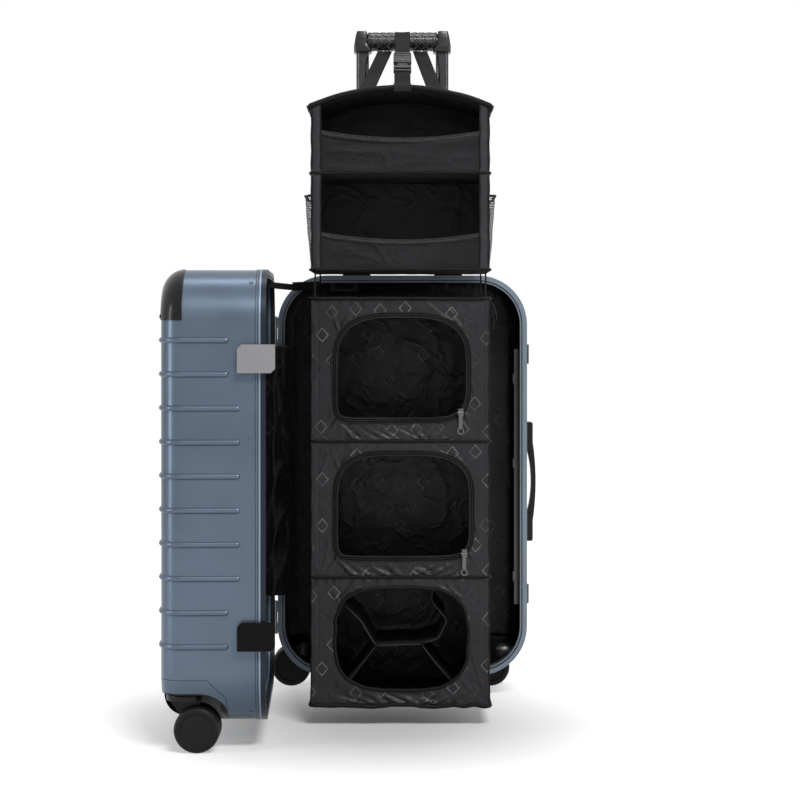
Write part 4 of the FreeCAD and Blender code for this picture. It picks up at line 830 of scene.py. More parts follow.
def recipes():
    """How each finish is made: the function, and what it is given."""
    tints = bpy.context.scene.trunk_colours
    black, nylon = tints.fittings, tints.closet
    return {
        "shell paint": (painted, dict(
            tint=tints.shell, roughness=0.29, grain=1100.0, wear=0.35, metallic=0.60, specular=0.15,
            worn=1.6)),
        "rim anodising": (painted, dict(
            tint=tints.rim, roughness=0.34, grain=1400.0, wear=0.5, metallic=0.45, worn=1.8)),
        # Painted shade: the lid's rim frame is the same anodising as the case's rim, given the shell's darker
        # tint
        "lid rim anodising": (rim_edge, dict(tint=tints.shell, mouth=(0.99939, 0.0349, 0.0), offset=-0.1907)),
        "black moulding": (painted, dict(
            tint=black, roughness=0.32, grain=700.0, wear=0.6, specular=0.16, worn=4.5)),
        "guard moulding": (painted, dict(
            tint=scaled(black, 0.45), roughness=0.22, grain=500.0, wear=0.6, specular=0.24, worn=7.0)),
        "cap moulding": (painted, dict(
            tint=scaled(black, 0.7), roughness=0.22, grain=500.0, wear=0.6, specular=0.42, worn=7.0)),
        "buckle moulding": (painted, dict(
            tint=(0.028, 0.028, 0.029), roughness=0.36, grain=800.0, wear=0.5, specular=0.25, worn=2.5)),
        "tyre": (painted, dict(
            tint=(0.007, 0.007, 0.007), roughness=0.45, grain=380.0, wear=0.3, specular=0.15, worn=3.0)),
        "latch steel": (painted, dict(
            tint=tints.latch, roughness=0.40, grain=1600.0, wear=0.6, metallic=0.75, worn=1.7)),
        "latch black": (painted, dict(
            tint=(0.004, 0.004, 0.004), roughness=0.34, grain=900.0, wear=0.4, specular=0.06, worn=4.0)),
        "rubber": (painted, dict(
            tint=(0.014, 0.014, 0.014), roughness=0.72, grain=300.0, wear=0.1, specular=0.3)),
        "grip rubber": (painted, dict(
            tint=(0.011, 0.011, 0.012), roughness=0.24, grain=500.0, wear=0.4, specular=0.55, worn=3.0)),
        "tube anodising": (brushed, dict(tint=tints.tubes, roughness=0.20, stretch=(40, 40, 1))),
        "hinge steel": (brushed, dict(tint=tints.hinge, roughness=0.36, stretch=(30, 30, 1))),
        "zip metal": (brushed, dict(tint=(0.110, 0.110, 0.115), roughness=0.36, stretch=(30, 1, 1))),
        "closet nylon": (cloth, dict(tint=nylon, roughness=0.42)),
        "closet band": (cloth, dict(
            tint=scaled(nylon, 1.5), roughness=0.44, sheen=0.05, rows=(("u", 0.0045), ("u", 0.6255)))),
        "printed nylon": (cloth, dict(tint=nylon, roughness=0.38, sheen=0.04, printed=0.85, crease=24.0)),
        "front nylon": (cloth, dict(
            tint=scaled(nylon, 1.15), roughness=0.36, sheen=0.04, printed=0.85, crease=24.0,
            rows=(("u", LEFT + SEAM), ("u", RIGHT - SEAM)))),
        "lining nylon": (cloth, dict(
            tint=tints.lining, roughness=0.40, sheen=0.02, printed=0.30, crease=16.0)),
        "board fabric": (cloth, dict(tint=tints.lining, roughness=0.6, crease=30.0)),
        "pocket hem": (cloth, dict(
            tint=scaled(tints.webbing, 0.8), roughness=0.6, sheen=0.08, crease=60.0,
            rows=(("v", 0.0042),), row_width=0.0009, row_tone=11.0)),
        "strap webbing": (ribbed, dict(tint=scaled(tints.webbing, 3.0), pitch=0.0016)),
        "binding": (ribbed, dict(tint=(0.011, 0.011, 0.0115), pitch=0.0012, roughness=0.5)),
        "zip coil": (ribbed, dict(tint=scaled(tints.zip, 2.0), pitch=0.0022, roughness=0.35)),
        "zip tape": (ribbed, dict(tint=(0.005, 0.005, 0.0055), pitch=0.0011, roughness=0.5)),
        "pocket net": (netting, dict(tint=tints.mesh, pitch=0.0040, hole=0.34)),
    }


def finish(name):
    """The named finish, made when it is first asked for."""
    made = bpy.data.materials.get(name)
    if made:
        return made
    maker, given = recipes()[name]
    return maker(name, **given)


def dress(piece, finish_name):
    """A new piece's finish."""
    piece.data.materials.clear()
    piece.data.materials.append(finish(finish_name))
    return piece


def bind(name, pieces):
    """Several runs of binding as one piece."""
    return dress(join(name, pieces), "binding")


def across_joint(piece, upper, lower, high, low):
    """Fabric that hangs between two boards, its placing baked into its mesh."""
    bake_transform(piece)


# ------------------------------------------------------------ hard parts


NODE_FINISHES = {
    "shell paint": ("case_shell", "lid_shell", "case_wheel_panels", "lid_wheel_panels"),
    "rim anodising": ("case_rim_frame",),
    # The lid's rim frame: the case rim's anodising, darkened as painted shade
    "lid rim anodising": ("lid_rim_frame",),
    "guard moulding": ("case_corner_fittings", "lid_corner_fittings"),
    "black moulding": (
        "handle_bezel", "closet_brackets", "carry_handle_mounts", "side_handle", "top_handle", "latch_bases",
        "handle_button", *(f"caster_fork_{caster}" for caster in CASTERS),
    ),
    "tyre": tuple(f"caster_wheels_{caster}" for caster in CASTERS),
    "tube anodising": (
        "handle_guides", "handle_stage_tubes", "handle_upper_tubes", "backing_bar", "catch_plates",
    ),
    "latch steel": ("latch_lever_upper",),
    "latch black": ("latch_lever_lower",),
    "hinge steel": ("case_hinge_leaves", "lid_hinge_leaves"),
    "zip metal": ("zip_1_slider", "zip_2_slider", "zip_1_pull", "zip_2_pull"),
    "rubber": ("rim_gasket",),
    "grip rubber": ("handle_grip",),
}


class TRUNK_OT_finishes(bpy.types.Operator):
    """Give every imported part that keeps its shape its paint, metal or moulded finish"""

    bl_idname = "trunk.finishes"
    bl_label = "Hard Finishes"

    def execute(self, context):
        for name, nodes in NODE_FINISHES.items():
            for node in nodes:
                part = frame["nodes"][node]
                if not part.material_slots:
                    part.data.materials.append(None)
                for slot in part.material_slots:
                    slot.material = finish(name)
        return {"FINISHED"}


class TRUNK_OT_caps(bpy.types.Operator):
    """Model the flared caps at both ends of the grip"""

    bl_idname = "trunk.caps"
    bl_label = "Handle Caps"

    def execute(self, context):
        low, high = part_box("handle_caps")
        y, top, foot = (low.y + high.y) / 2, high.z, low.z
        sections = (  # height, distance from the middle, half width and half depth
            (top - 0.0010, 0.0633, 0.0001, 0.0001), (top - 0.0010, 0.0633, 0.0076, 0.0114),
            (top - 0.0014, 0.0633, 0.0081, 0.0120), (top - 0.0044, 0.0633, 0.0085, 0.0126),
            (top - 0.0050, 0.0633, 0.0091, 0.0134), (top - 0.0110, 0.0637, 0.0099, 0.0142),
            (top - 0.0205, 0.0641, 0.0110, 0.0149), (top - 0.0250, 0.0630, 0.0127, 0.0153),
            (foot + 0.0056, 0.0617, 0.0139, 0.0153), (foot + 0.0014, 0.0616, 0.0140, 0.0150),
            (foot + 0.0002, 0.0616, 0.0130, 0.0140), (foot + 0.0002, 0.0616, 0.0001, 0.0001),
        )
        caps = [
            loft("cap", [(z, side * x, y, wide, deep) for z, x, wide, deep in sections]) for side in (-1, 1)]
        cap = dress(join("grip_caps", caps), "cap moulding")
        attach(cap, "handle")
        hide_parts("handle_caps")
        return {"FINISHED"}


class TRUNK_OT_grip(bpy.types.Operator):
    """Model the two grip sleeves with raised lozenges"""

    bl_idname = "trunk.grip"
    bl_label = "Grip Sleeves"

    def execute(self, context):
        low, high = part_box("handle_grip")
        centre_y, centre_z, radius = (low.y + high.y) / 2, (low.z + high.z) / 2, (high.z - low.z) / 2
        pitch, round_count = context.scene.trunk_fabric.grip_pitch, 7
        inner, outer = 0.0125, 0.0546  # each sleeve's ends, from the middle
        hollow, ridge, lead = 0.0024, 0.0034, 0.0012
        sleeves = []
        for side in (-1, 1):

            def place(u, v, side=side):
                x = inner + (outer - inner) * v
                a, b = x / pitch, u * round_count
                # Rows of lozenges, each shifted by half
                off = np.abs(a - np.round(a)) + np.abs(b - np.round(b))
                bump = (1 - np.abs(1 - 2 * off)) ** 2  # ridges between hollow faces
                taper = np.clip(np.minimum(v, 1 - v) * (outer - inner) / lead, 0, 1)
                r = radius - hollow + ridge * bump * taper
                angle = 2 * math.pi * u
                return xyz(side * x, centre_y + r * np.sin(angle), centre_z + r * np.cos(angle))

            sleeves.append(grid("sleeve", 112, 60, place, (2 * math.pi * radius, outer - inner), closed=True))
        sleeve = join("grip_sleeves", sleeves)
        merge(sleeve, outwards=True)
        dress(sleeve, "grip rubber")
        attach(sleeve, "handle")
        return {"FINISHED"}


# ------------------------------------------------------------ closet


def roof_top(x):
    """Height of the roof's upper face."""
    half, rise = (ROOF_HIGH.x - ROOF_LOW.x) / 2, ROOF_HIGH.z - ROOF_LOW.z - BOARD
    radius = (half ** 2 + rise ** 2) / (2 * rise)
    return ROOF_HIGH.z - radius + np.sqrt(radius ** 2 - (x - MIDDLE) ** 2)


class TRUNK_OT_roof(bpy.types.Operator):
    """Model the arched roof with its piped hems"""

    bl_idname = "trunk.roof"
    bl_label = "Roof"

    def execute(self, context):
        width, depth = ROOF_HIGH.x - ROOF_LOW.x, BACK - FRONT
        margin_x, margin_y, fullness = 0.0006, 0.0008, 1.03

        def place(u, v):
            x = ROOF_LOW.x + margin_x + (width - 2 * margin_x) * u
            return xyz(x, FRONT + margin_y + (depth - 2 * margin_y) * v, roof_top(x) - BOARD / 2)

        def relief(u, v, co):
            return 0.0009 * creases(co, (0.05, 0.05, 0.05), 3) - 0.0004

        arch = grid("roof_cover", 96, 60, place, (width, depth), relief)
        thicken(arch, BOARD - 0.0008)
        unwrap(arch)
        dress(arch, "board fabric")
        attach(arch, "handle")
        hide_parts("closet_roof")
        xs = np.linspace(ROOF_LOW.x + 2 * margin_x, ROOF_HIGH.x - 2 * margin_x, 90)
        hems = []
        for y, drop, size in ((FRONT, 0.0020, 0.0036), (BACK, 0.0016, 0.0022)):
            wave = 0.0005 * noise(xyz(xs * 45, y, 0.0), 5)
            hems.append(tube("hem", xyz(xs, y, roof_top(xs) - drop + wave), size, sides=10, steps=160))
        ys = np.linspace(FRONT, BACK, 30)
        for x in (xs[0], xs[-1]):
            hems.append(tube("hem", xyz(x, ys, roof_top(x) - 0.0018 + 0.0006 * np.sin(ys * 90)), 0.0021))
        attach(bind("roof_piping", hems), "handle")
        return {"FINISHED"}


def wall_path(band):
    """Plan of a compartment's walls, from the front edge of the left side round the back to the right."""
    inset = 0.0008
    left, right, front, back = LEFT + inset, RIGHT - inset, FRONT + inset, BACK - inset
    corners = [(left, front), (left, back), (right, back), (right, front)]
    if band:
        corners = [(left + band, front)] + corners + [(right - band, front)]
    return rounded(corners, 0.003)


def wall_sheet(name, low, high, band, seed, arched=False):
    """The side and back walls of one compartment as one cloth, slack between its seams."""
    path = wall_path(band)
    run = span(path)
    depth = bpy.context.scene.trunk_fabric.crease
    face = 0.005  # size of the sheet's faces

    def place(u, v):
        x, y = walk(path, u).T
        top = roof_top(x) - BOARD / 2 if arched else high
        return xyz(x, y, low + (top - low) * v)

    def relief(u, v, co):
        slack = np.sin(math.pi * v) ** 0.8
        behind = np.clip((co[:, 1] - FRONT) / 0.012, 0, 1)
        deep = 0.55 * depth * (0.25 + 0.75 * slack) * (0.25 + 0.75 * behind)
        return deep * creases(co, (0.045, 0.035, 0.06), seed) + 0.0012 * slack * behind - 0.0009

    height = high - low
    made = grid(name, round(run / face), max(16, round(height / face)), place, (run, height), relief)
    return made, run


class TRUNK_OT_upper_walls(bpy.types.Operator):
    """Model the walls and front bands of the two open compartments"""

    bl_idname = "trunk.upper_walls"
    bl_label = "Upper Walls"

    def execute(self, context):
        shelf, base = BOARD_TOPS["upper_shelf"], BOARD_TOPS["closet_base"]
        under = shelf - BOARD
        for name, low, high, top, bodies, carrier, seed in (
            ("upper_walls_1", shelf, ROOF_LOW.z, ROOF_HIGH.z, ("handle", "upper_shelf"), "closet_roof", 11),
            ("upper_walls_2", base, under, under, ("upper_shelf", "closet_base"), "upper_shelf", 23),
        ):
            arched = carrier == "closet_roof"
            walls, run = wall_sheet(name + "_cloth", low, high, BAND, seed, arched)
            dress(walls, "closet band")
            across_joint(walls, *bodies, high, low)
            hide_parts(name)
            edges = []
            for s, x in SIDES:
                for at, size in ((x - s * BAND, 0.0011), (x - s * 0.0012, 0.0010)):
                    upper = roof_top(at) - BOARD - 0.0012 if arched else high - 0.0005
                    z = np.linspace(low + 0.0005, upper, 30)
                    sway = 0.0004 * np.sin(z * 160 + s)
                    edges.append(tube("edge", xyz(at + sway, FRONT + 0.0002, z), size, sides=6))
            across_joint(bind(name + "_bindings", edges), *bodies, high, low)
        return {"FINISHED"}


def board_cover(name, node, body):
    """A stiff board under stretched fabric, with a bound edge that bulges at the front corners."""
    low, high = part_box(node)
    board = slack_copy(node, name, 0.018, 0.0, 0)
    modify(board, "BEVEL", width=0.0008, segments=2, limit_method="ANGLE", angle_limit=math.radians(50))
    unwrap(board)
    dress(board, "board fabric")
    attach(board, body)
    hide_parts(node)
    edge = rounded([(low.x, low.y), (high.x, low.y), (high.x, high.y), (low.x, high.y)], 0.009, closed=True)
    ring = walk(xyz(*edge.T, (low.z + high.z) / 2), np.linspace(0, 1, 300))
    ring[:, 2] += (0.0016 if body == "tier_3" else 0.0006) * noise(ring * 70, 9)
    reach, bulge = 0.006, 0.0024
    from_side = np.minimum(np.abs(ring[:, 0] - low.x), np.abs(ring[:, 0] - high.x))
    corner = np.exp(-from_side / reach) * np.exp(-np.abs(ring[:, 1] - low.y) / reach)
    ring[:, 0] += np.sign(ring[:, 0] - (low.x + high.x) / 2) * bulge * corner
    ring[-1] = ring[0]
    size = {"tier_3": 0.0031, "tier_top": 0.0026}.get(body, 0.0022)
    piping = tube(name + "_piping", ring, size, closed=True, steps=300)
    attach(dress(piping, "binding"), body)


class TRUNK_OT_boards(bpy.types.Operator):
    """Model the fabric-covered boards between the compartments"""

    bl_idname = "trunk.boards"
    bl_label = "Boards"

    def execute(self, context):
        for node, body in BOARDS.items():
            board_cover(node + "_cover", node, body)
        return {"FINISHED"}


def pocket_front(name, floor, height, bodies, joint_z, seed):
    """A net pocket across the foot of an open compartment, with a stitched hem that dips in the middle."""
    left, right = LEFT + BAND - 0.003, RIGHT - BAND + 0.003
    width, top = right - left, floor + height
    y, dip, lean, hem_width = FRONT + 0.0012, 0.0105, 0.0012, 0.0085

    def rim(u):
        return top - dip * (1 - (2 * u - 1) ** 2) - lean * u

    def net(u, v):
        return xyz(left + width * u, y, floor + 0.001 + (rim(u) - 0.0075 - floor) * v)

    def relief(u, v, co):
        held = held_ends(u, 8) * np.minimum(1, v * 5)
        return held * (0.0034 * creases(co, (0.045, 0.05, 0.030), seed) - 0.0018)

    def hem(u, v):
        return xyz(left + width * u, y - 0.0004 + 0.0004 * np.cos(v * 6), rim(u) - hem_width * (1 - v))

    def ripple(u, v, co):
        return 0.0005 * noise(co * 90, seed + 4)

    sheet = grid(name + "_net", 90, 22, net, (width, top - floor), relief)
    dress(sheet, "pocket net")
    band = grid(name + "_hem", 110, 4, hem, (width, hem_width), ripple)
    thicken(band, 0.0009)
    dress(band, "pocket hem")
    for piece in (sheet, band):
        across_joint(piece, *bodies, *joint_z)
    return sheet


def side_pocket(side, s, wall, floor, low, high):
    """A gathered net pocket on one side of the lower open compartment, and its elastic."""
    foot, head = floor + 0.008, 0.7400
    front, back = FRONT + 0.012, BACK - 0.025
    stand = (wall - low.x if s < 0 else high.x - wall) - 0.0006
    near, far, turn = wall + s * 0.0004, wall + s * stand, 0.016
    path = rounded([(near, front), (far, front + turn), (far, back - turn), (near, back)], 0.006)

    def place(u, v):
        x, y = walk(path, u).T
        lean = 0.12 + 0.88 * v ** 0.8
        return xyz(wall + (x - wall) * lean, y, foot + (head - foot) * v)

    def relief(u, v, co):
        return 0.0014 * (creases(co, (0.03, 0.03, 0.04), 61 + s) - 0.5) * held_ends(u, 6)

    net = grid(f"side_pocket_{side}_net", 44, 22, place, (span(path), head - foot), relief)
    rim = walk(path, np.linspace(0, 1, 60))
    z = head + 0.0008 * noise(np.column_stack([rim * 120, rim[:, 0]]), 3)
    hem = tube(f"side_pocket_{side}_elastic", np.column_stack([rim, z]), 0.0019, steps=90)
    return net, hem, head - foot


class TRUNK_OT_pockets(bpy.types.Operator):
    """Model the net pockets at the front and sides of the open compartments"""

    bl_idname = "trunk.pockets"
    bl_label = "Net Pockets"

    def execute(self, context):
        shelf, base = BOARD_TOPS["upper_shelf"], BOARD_TOPS["closet_base"]
        bodies, joint_z = ("handle", "upper_shelf"), (ROOF_LOW.z, shelf)
        first = pocket_front("upper_pocket_1", shelf, 0.0588, bodies, joint_z, 31)
        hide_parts("upper_pocket_1")
        bodies, joint_z = ("upper_shelf", "closet_base"), (shelf - BOARD, base)
        second = pocket_front("upper_pocket_2", base, 0.0518, bodies, joint_z, 47)
        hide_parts("upper_pockets_2")
        made = [side_pocket(side, s, wall, base, *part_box("upper_pockets_2"))
                for side, (s, wall) in zip(("left", "right"), SIDES)]
        for net, hem, height in made:
            dress(net, "pocket net")
            dress(hem, "binding")
            for piece in (net, hem):
                across_joint(piece, *bodies, *joint_z)
        return {"FINISHED"}


# ------------------------------------------------------------ lower compartments


def opening_outline(hole, count):
    """The opening's edge as count steps in X and Z, evenly spaced."""
    t = np.linspace(0, 2 * math.pi, 4001)
    foot_power = np.where(np.cos(t) < 0, hole.left_power, hole.right_power)
    power = np.where(np.sin(t) >= 0, hole.head_power, foot_power)
    x, z = squircle(t, hole.half, (hole.head - hole.foot) / 2, power)
    edge = np.column_stack([hole.middle + x, (hole.foot + hole.head) / 2 + z])
    return walk(edge, np.linspace(0, 1, count + 1))


def to_edge(points, centre, x0, x1, z0, z1):
    """Where rays from the centre through the points meet a rectangle, with its corners kept."""
    ray = points - np.array(centre)
    ray = np.where(np.abs(ray) < 1e-9, 1e-9, ray)
    along_x = np.where(ray[:, 0] > 0, x1 - centre[0], x0 - centre[0]) / ray[:, 0]
    along_z = np.where(ray[:, 1] > 0, z1 - centre[1], z0 - centre[1]) / ray[:, 1]
    met = np.array(centre) + ray * np.minimum(along_x, along_z)[:, None]
    for corner in itertools.product((x0, x1), (z0, z1)):
        met[np.argmin(np.linalg.norm(met[:-1] - corner, axis=1))] = corner
    met[-1] = met[0]
    return met


def fold_lines(tier, hole, low, high):
    """Folds that pull from the opening's corners to the seams, and slack pleats below it."""
    x_l, x_r, foot, head = hole.middle - hole.half, hole.middle + hole.half, hole.foot, hole.head
    lines = [
        (x_l + 0.010, head - 0.014, x_l + 0.032, high, 0.0022, 1.0),
        (x_l + 0.004, head - 0.020, x_l - 0.010, high - 0.002, 0.0020, 0.8),
        (x_l + 0.022, head - 0.006, x_l + 0.056, high, 0.0024, 0.5),
        (x_r - 0.008, head - 0.016, x_r + 0.014, high, 0.0022, 0.9),
        (x_r - 0.012, head - 0.012, x_r - 0.034, high, 0.0024, 0.7),
        (x_r - 0.030, head - 0.004, x_r - 0.062, high, 0.0024, 0.45),
        (x_l + 0.006, foot + 0.008, x_l - 0.016, low, 0.0022, 0.6),
        (x_r - 0.004, foot + 0.008, x_r + 0.018, low, 0.0022, 0.7),
        (x_r + 0.006, foot + 0.05, x_r + 0.024, foot - 0.01, 0.0022, 0.4),
    ]
    rng = np.random.default_rng(70 + tier)
    for x in np.linspace(x_l + 0.012, x_r - 0.012, 9):
        lean = rng.uniform(0.010, 0.026) * (1 if x < hole.middle + 0.03 else -1)
        reach = (foot - low) * rng.uniform(0.55, 1.0)
        width, height = rng.uniform(0.0022, 0.0036), rng.uniform(0.5, 1.3)
        lines.append((x + lean, low + 0.001, x - lean * 0.6, low + reach, width, height))
    return lines


def front_panel(tier, name, low, high):
    """The front of a lower compartment, pulled in folds round its opening."""
    hole, count, rings, inset = OPENINGS[tier], 300, 30, 0.0008
    centre = (hole.middle, (hole.foot + hole.head) / 2)
    inner = opening_outline(hole, count)
    outer = to_edge(inner, centre, LEFT + inset, RIGHT - inset, low, high)
    depth = bpy.context.scene.trunk_fabric.crease
    lines = fold_lines(tier, hole, low, high)
    foot_gather = 0.9 if tier == 2 else 0.5

    def place(u, v):
        k = np.clip(np.round(u * count).astype(int), 0, count)
        flat = inner[k] + (outer[k] - inner[k]) * v[:, None]
        return xyz(flat[:, 0], FRONT + 0.0010, flat[:, 1])

    def relief(v, co):
        x, y, z = co.T
        edge = np.minimum(1, (1 - v) * 14) * (0.35 + 0.65 * np.minimum(1, v * 6))
        below = np.exp(-((z - (low + hole.foot) / 2) / 0.02) ** 2) * (np.abs(x - hole.middle) < 0.1)
        turned = xyz(x * 0.8 + z * 0.6, y, z * 0.8 - x * 0.6)
        slack = creases(turned, (0.020, 0.05, 0.055), 81 + tier) - 0.45
        calm = np.clip(np.abs(x - MIDDLE) - 0.105, 0, 0.01) / 0.01
        near_seam = np.exp(-((high - z) / 0.009) ** 2) + foot_gather * np.exp(-((z - low) / 0.010) ** 2)
        gather = np.sin(2 * math.pi * x / 0.016 + 4 * noise(co * 26, 5)) * (0.5 + 0.5 * noise(co * 40, 6))
        shape = 0.42 * slack * (0.35 + 0.9 * below) * (1 - 0.7 * calm)
        shape += 0.62 * folds(x, z, lines) + 0.38 * gather * near_seam
        stitched = sum(np.exp(-((x - at) / 0.0011) ** 2) for at in (LEFT + SEAM, RIGHT - SEAM))
        return 0.0006 + depth * shape * edge - 0.00054 * stitched

    made = grid(name, count, rings, place, (1.0, 1.0))
    co = points_of(made)
    ring = (np.arange(len(co)) // (count + 1)) / rings
    co[:, 1] -= relief(ring, co)
    put_points(made, co)
    merge(made)
    unwrap(made)
    return made


def zip_teeth(name, outline, normal, count):
    """Tapered teeth along the coil, all in one mesh."""
    foot, head = (0.5, 0, 0.3), (0.35, -1, 0.2)
    turns = ((-1, -1), (1, -1), (1, 1), (-1, 1))
    tooth = np.array([(x * across, y, z * along) for x, y, z in (foot, head) for across, along in turns])
    tooth = tooth * np.array([0.0030, 0.0010, 0.0026])
    faces = [(0, 1, 5, 4), (1, 2, 6, 5), (2, 3, 7, 6), (3, 0, 4, 7), (4, 5, 6, 7), (3, 2, 1, 0)]
    shares = np.linspace(0, 1, count, endpoint=False)
    verts, quads = [], []
    for (x, z), (nx, nz) in zip(walk(outline - 0.0010 * normal, shares), walk(normal, shares)):
        quads += [tuple(len(verts) + i for i in face) for face in faces]
        verts += [(x + nx * a - nz * c, FRONT - 0.0014 + b, z + nz * a + nx * c) for a, b, c in tooth]
    mesh = bpy.data.meshes.new(name)
    mesh.from_pydata(verts, [], quads)
    teeth = bpy.data.objects.new(name, mesh)
    bpy.context.scene.collection.objects.link(teeth)
    merge(teeth, outwards=True)
    unwrap(teeth)
    return dress(teeth, "zip coil")


def opening_trim(tier, name):
    """Tape, coil and teeth round an opening, or a plain binding round the lowest one."""
    count, tape_width = 420, 0.0068
    outline = opening_outline(OPENINGS[tier], count)
    run = span(outline)
    normal = np.roll(outline, -1, axis=0) - np.roll(outline, 1, axis=0)
    normal[0] = normal[-1] = outline[1] - outline[-2]
    normal = np.column_stack([normal[:, 1], -normal[:, 0]]) / np.linalg.norm(normal, axis=1)[:, None]

    if tier == 2:
        wave = 0.0010 * noise(np.column_stack([outline * 75, outline[:, 0] * 0]), 12)
        wave[-1] = wave[0]
        x, z = (outline + normal * (0.0004 + wave)[:, None]).T
        path = xyz(x, FRONT - 0.0002 + 0.6 * wave, z)
        rim = tube(name + "_binding", path, 0.0024, closed=True, steps=count)
        return [dress(rim, "binding")]

    def tape(u, v):
        k = np.clip(np.round(u * count).astype(int), 0, count)
        flat = outline[k] + normal[k] * (v[:, None] * tape_width - 0.0012)
        ripple = 0.0004 * noise(np.column_stack([flat * 70, v]), 6)
        return xyz(flat[:, 0], FRONT - 0.0004 - 0.0007 * np.sin(math.pi * v) - ripple, flat[:, 1])

    band = grid(name + "_tape", count, 5, tape, (run, tape_width), closed=True)
    dress(band, "zip tape")
    coils = []
    for offset, size in ((-0.0010, 0.0013), (0.0022, 0.0007), (0.0052, 0.0006)):
        x, z = (outline + normal * offset).T
        coils.append(tube("coil", xyz(x, FRONT - 0.0010, z), size, closed=True, sides=6, steps=count))
    coil = dress(join(name + "_coil", coils), "zip coil")
    teeth = zip_teeth(name + "_teeth", outline, normal, int(run / bpy.context.scene.trunk_fabric.teeth))
    return [band, coil, teeth]


class TRUNK_OT_tiers(bpy.types.Operator):
    """Model the walls, folded fronts and zips of the three lower compartments"""

    bl_idname = "trunk.tiers"
    bl_label = "Lower Compartments"

    def execute(self, context):
        for tier, (node, above, below) in enumerate(TIERS):
            low, high, name = BOARD_TOPS[below], BOARD_TOPS[above] - BOARD, f"tier_{tier + 1}"
            walls, run = wall_sheet(name + "_sides", low, high, 0, 91 + tier)
            dress(walls, "printed nylon")
            front = front_panel(tier, name + "_front", low, high)
            dress(front, "front nylon")
            trim = opening_trim(tier, name + "_zip")
            edges = []
            for s, at in SIDES:
                z = np.linspace(low + 0.0005, high - 0.0005, 40)
                sway = 0.0005 * np.sin(z * 140 + s)
                edges.append(tube("edge", xyz(at - s * 0.0010 + sway, FRONT + 0.0006, z), 0.0011, sides=6))
            trim.append(bind(name + "_bindings", edges))
            for piece in (walls, front, *trim):
                across_joint(piece, BOARDS[above], BOARDS[below], high, low)
            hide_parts(node)
        return {"FINISHED"}


class TRUNK_OT_dividers(bpy.types.Operator):
    """Model the loose dividers inside the lowest compartment"""

    bl_idname = "trunk.dividers"
    bl_label = "Dividers"

    def execute(self, context):
        low, high = BOARD_TOPS["tier_floor"], BOARD_TOPS["tier_shelf_2"] - BOARD
        front, depth, sag = FRONT + 0.020, 0.135, 0.004
        for name, line in (  # each one's front edge, in X and Z
            ("shelf", [(-0.039, 0.1085), (0.0, 0.1100), (0.028, 0.1105)]),
            ("left_foot", [(-0.0385, 0.1070), (-0.055, 0.085), (-0.0735, 0.0600), (-0.0900, 0.0335)]),
            ("right_foot", [(0.028, 0.1090), (0.045, 0.086), (0.0665, 0.0610), (0.0880, 0.0340)]),
            ("left_sling", [(-0.1220, 0.2030), (-0.084, 0.168), (-0.059, 0.1440), (-0.0390, 0.1100)]),
            ("right_sling",
             [(0.0280, 0.1120), (0.050, 0.1180), (0.0630, 0.1440), (0.0400, 0.1730), (0.046, 0.2030)]),
        ):
            path = rounded(line, 0.008)

            def place(u, v, path=path):
                x, z = walk(path, u).T
                return xyz(x, front + depth * v, z - sag * np.sin(math.pi * v))

            def relief(u, v, co):
                return 0.0016 * (creases(co, (0.035, 0.05, 0.035), 131) - 0.5) * held_ends(u, 5)

            sheet = grid("sheet", 34, 34, place, (span(path), depth), relief)
            x, z = walk(path, np.linspace(0, 1, 40)).T
            hem = tube("hem", xyz(x, front, z), 0.0012, sides=6)
            thicken(sheet, 0.0008)
            piece = join("divider_" + name, [sheet, hem])
            dress(piece, "closet nylon")
            across_joint(piece, "tier_2", "tier_3", high, low)
        return {"FINISHED"}


class TRUNK_OT_links(bpy.types.Operator):
    """Model the cords between the two parts of the closet, and the loose ties at its sides"""

    bl_idname = "trunk.links"
    bl_label = "Link Cords"

    def execute(self, context):
        low, high = BOARD_TOPS["tier_top"] + GAP, BOARD_TOPS["closet_base"] - BOARD - GAP
        inset, radius, middle = 0.006, 0.0012, (low + high) / 2
        corners = itertools.product((("left", LEFT + inset), ("right", RIGHT - inset)),
                                    (("front", FRONT + inset), ("back", BACK - inset)))
        for k, ((side, x), (end, y)) in enumerate(corners):
            path = np.array([
                (x, y, high), (x + 0.0004, y, middle + 0.006), (x - 0.0003, y, middle - 0.006), (x, y, low),
            ])
            cord = tube(f"link_cord_{side}_{end}", path, radius, sides=10, steps=24, tip=False)
            dress(cord, "strap webbing")
            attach(cord, "closet_base")
            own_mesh(cord)
            if k == 0:
                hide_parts("link_cords")
        ties = []
        for x, y, z, out, drop in (  # where each is sewn on, how far it stands out and how far it hangs
            (RIGHT, FRONT + 0.012, 0.592, 0.010, 0.030),
            (RIGHT, FRONT + 0.012, 0.592, 0.006, 0.040),
            (LEFT, FRONT + 0.014, 0.588, -0.008, 0.030),
        ):
            line = [
                (x + 0.1 * out, y, z), (x + out * 0.7, y, z - drop * 0.25),
                (x + out, y + 0.003, z - drop * 0.7), (x + out * 0.8, y + 0.002, z - drop),
            ]
            ties.append(strap("tie", line, 0.0035, 0.0006, across=(0.25, 0.95, 0.2), seed=5, ripple=0.0002))
        tie = dress(join("side_ties", ties), "strap webbing")
        across_joint(tie, "tier_top", "tier_1", BOARD_TOPS["tier_top"] - BOARD, BOARD_TOPS["tier_shelf_1"])
        return {"FINISHED"}


# ------------------------------------------------------------ straps


def mirrored(right):
    """A closed outline from its right half."""
    return right + [(-a, b) for a, b in reversed(right)]


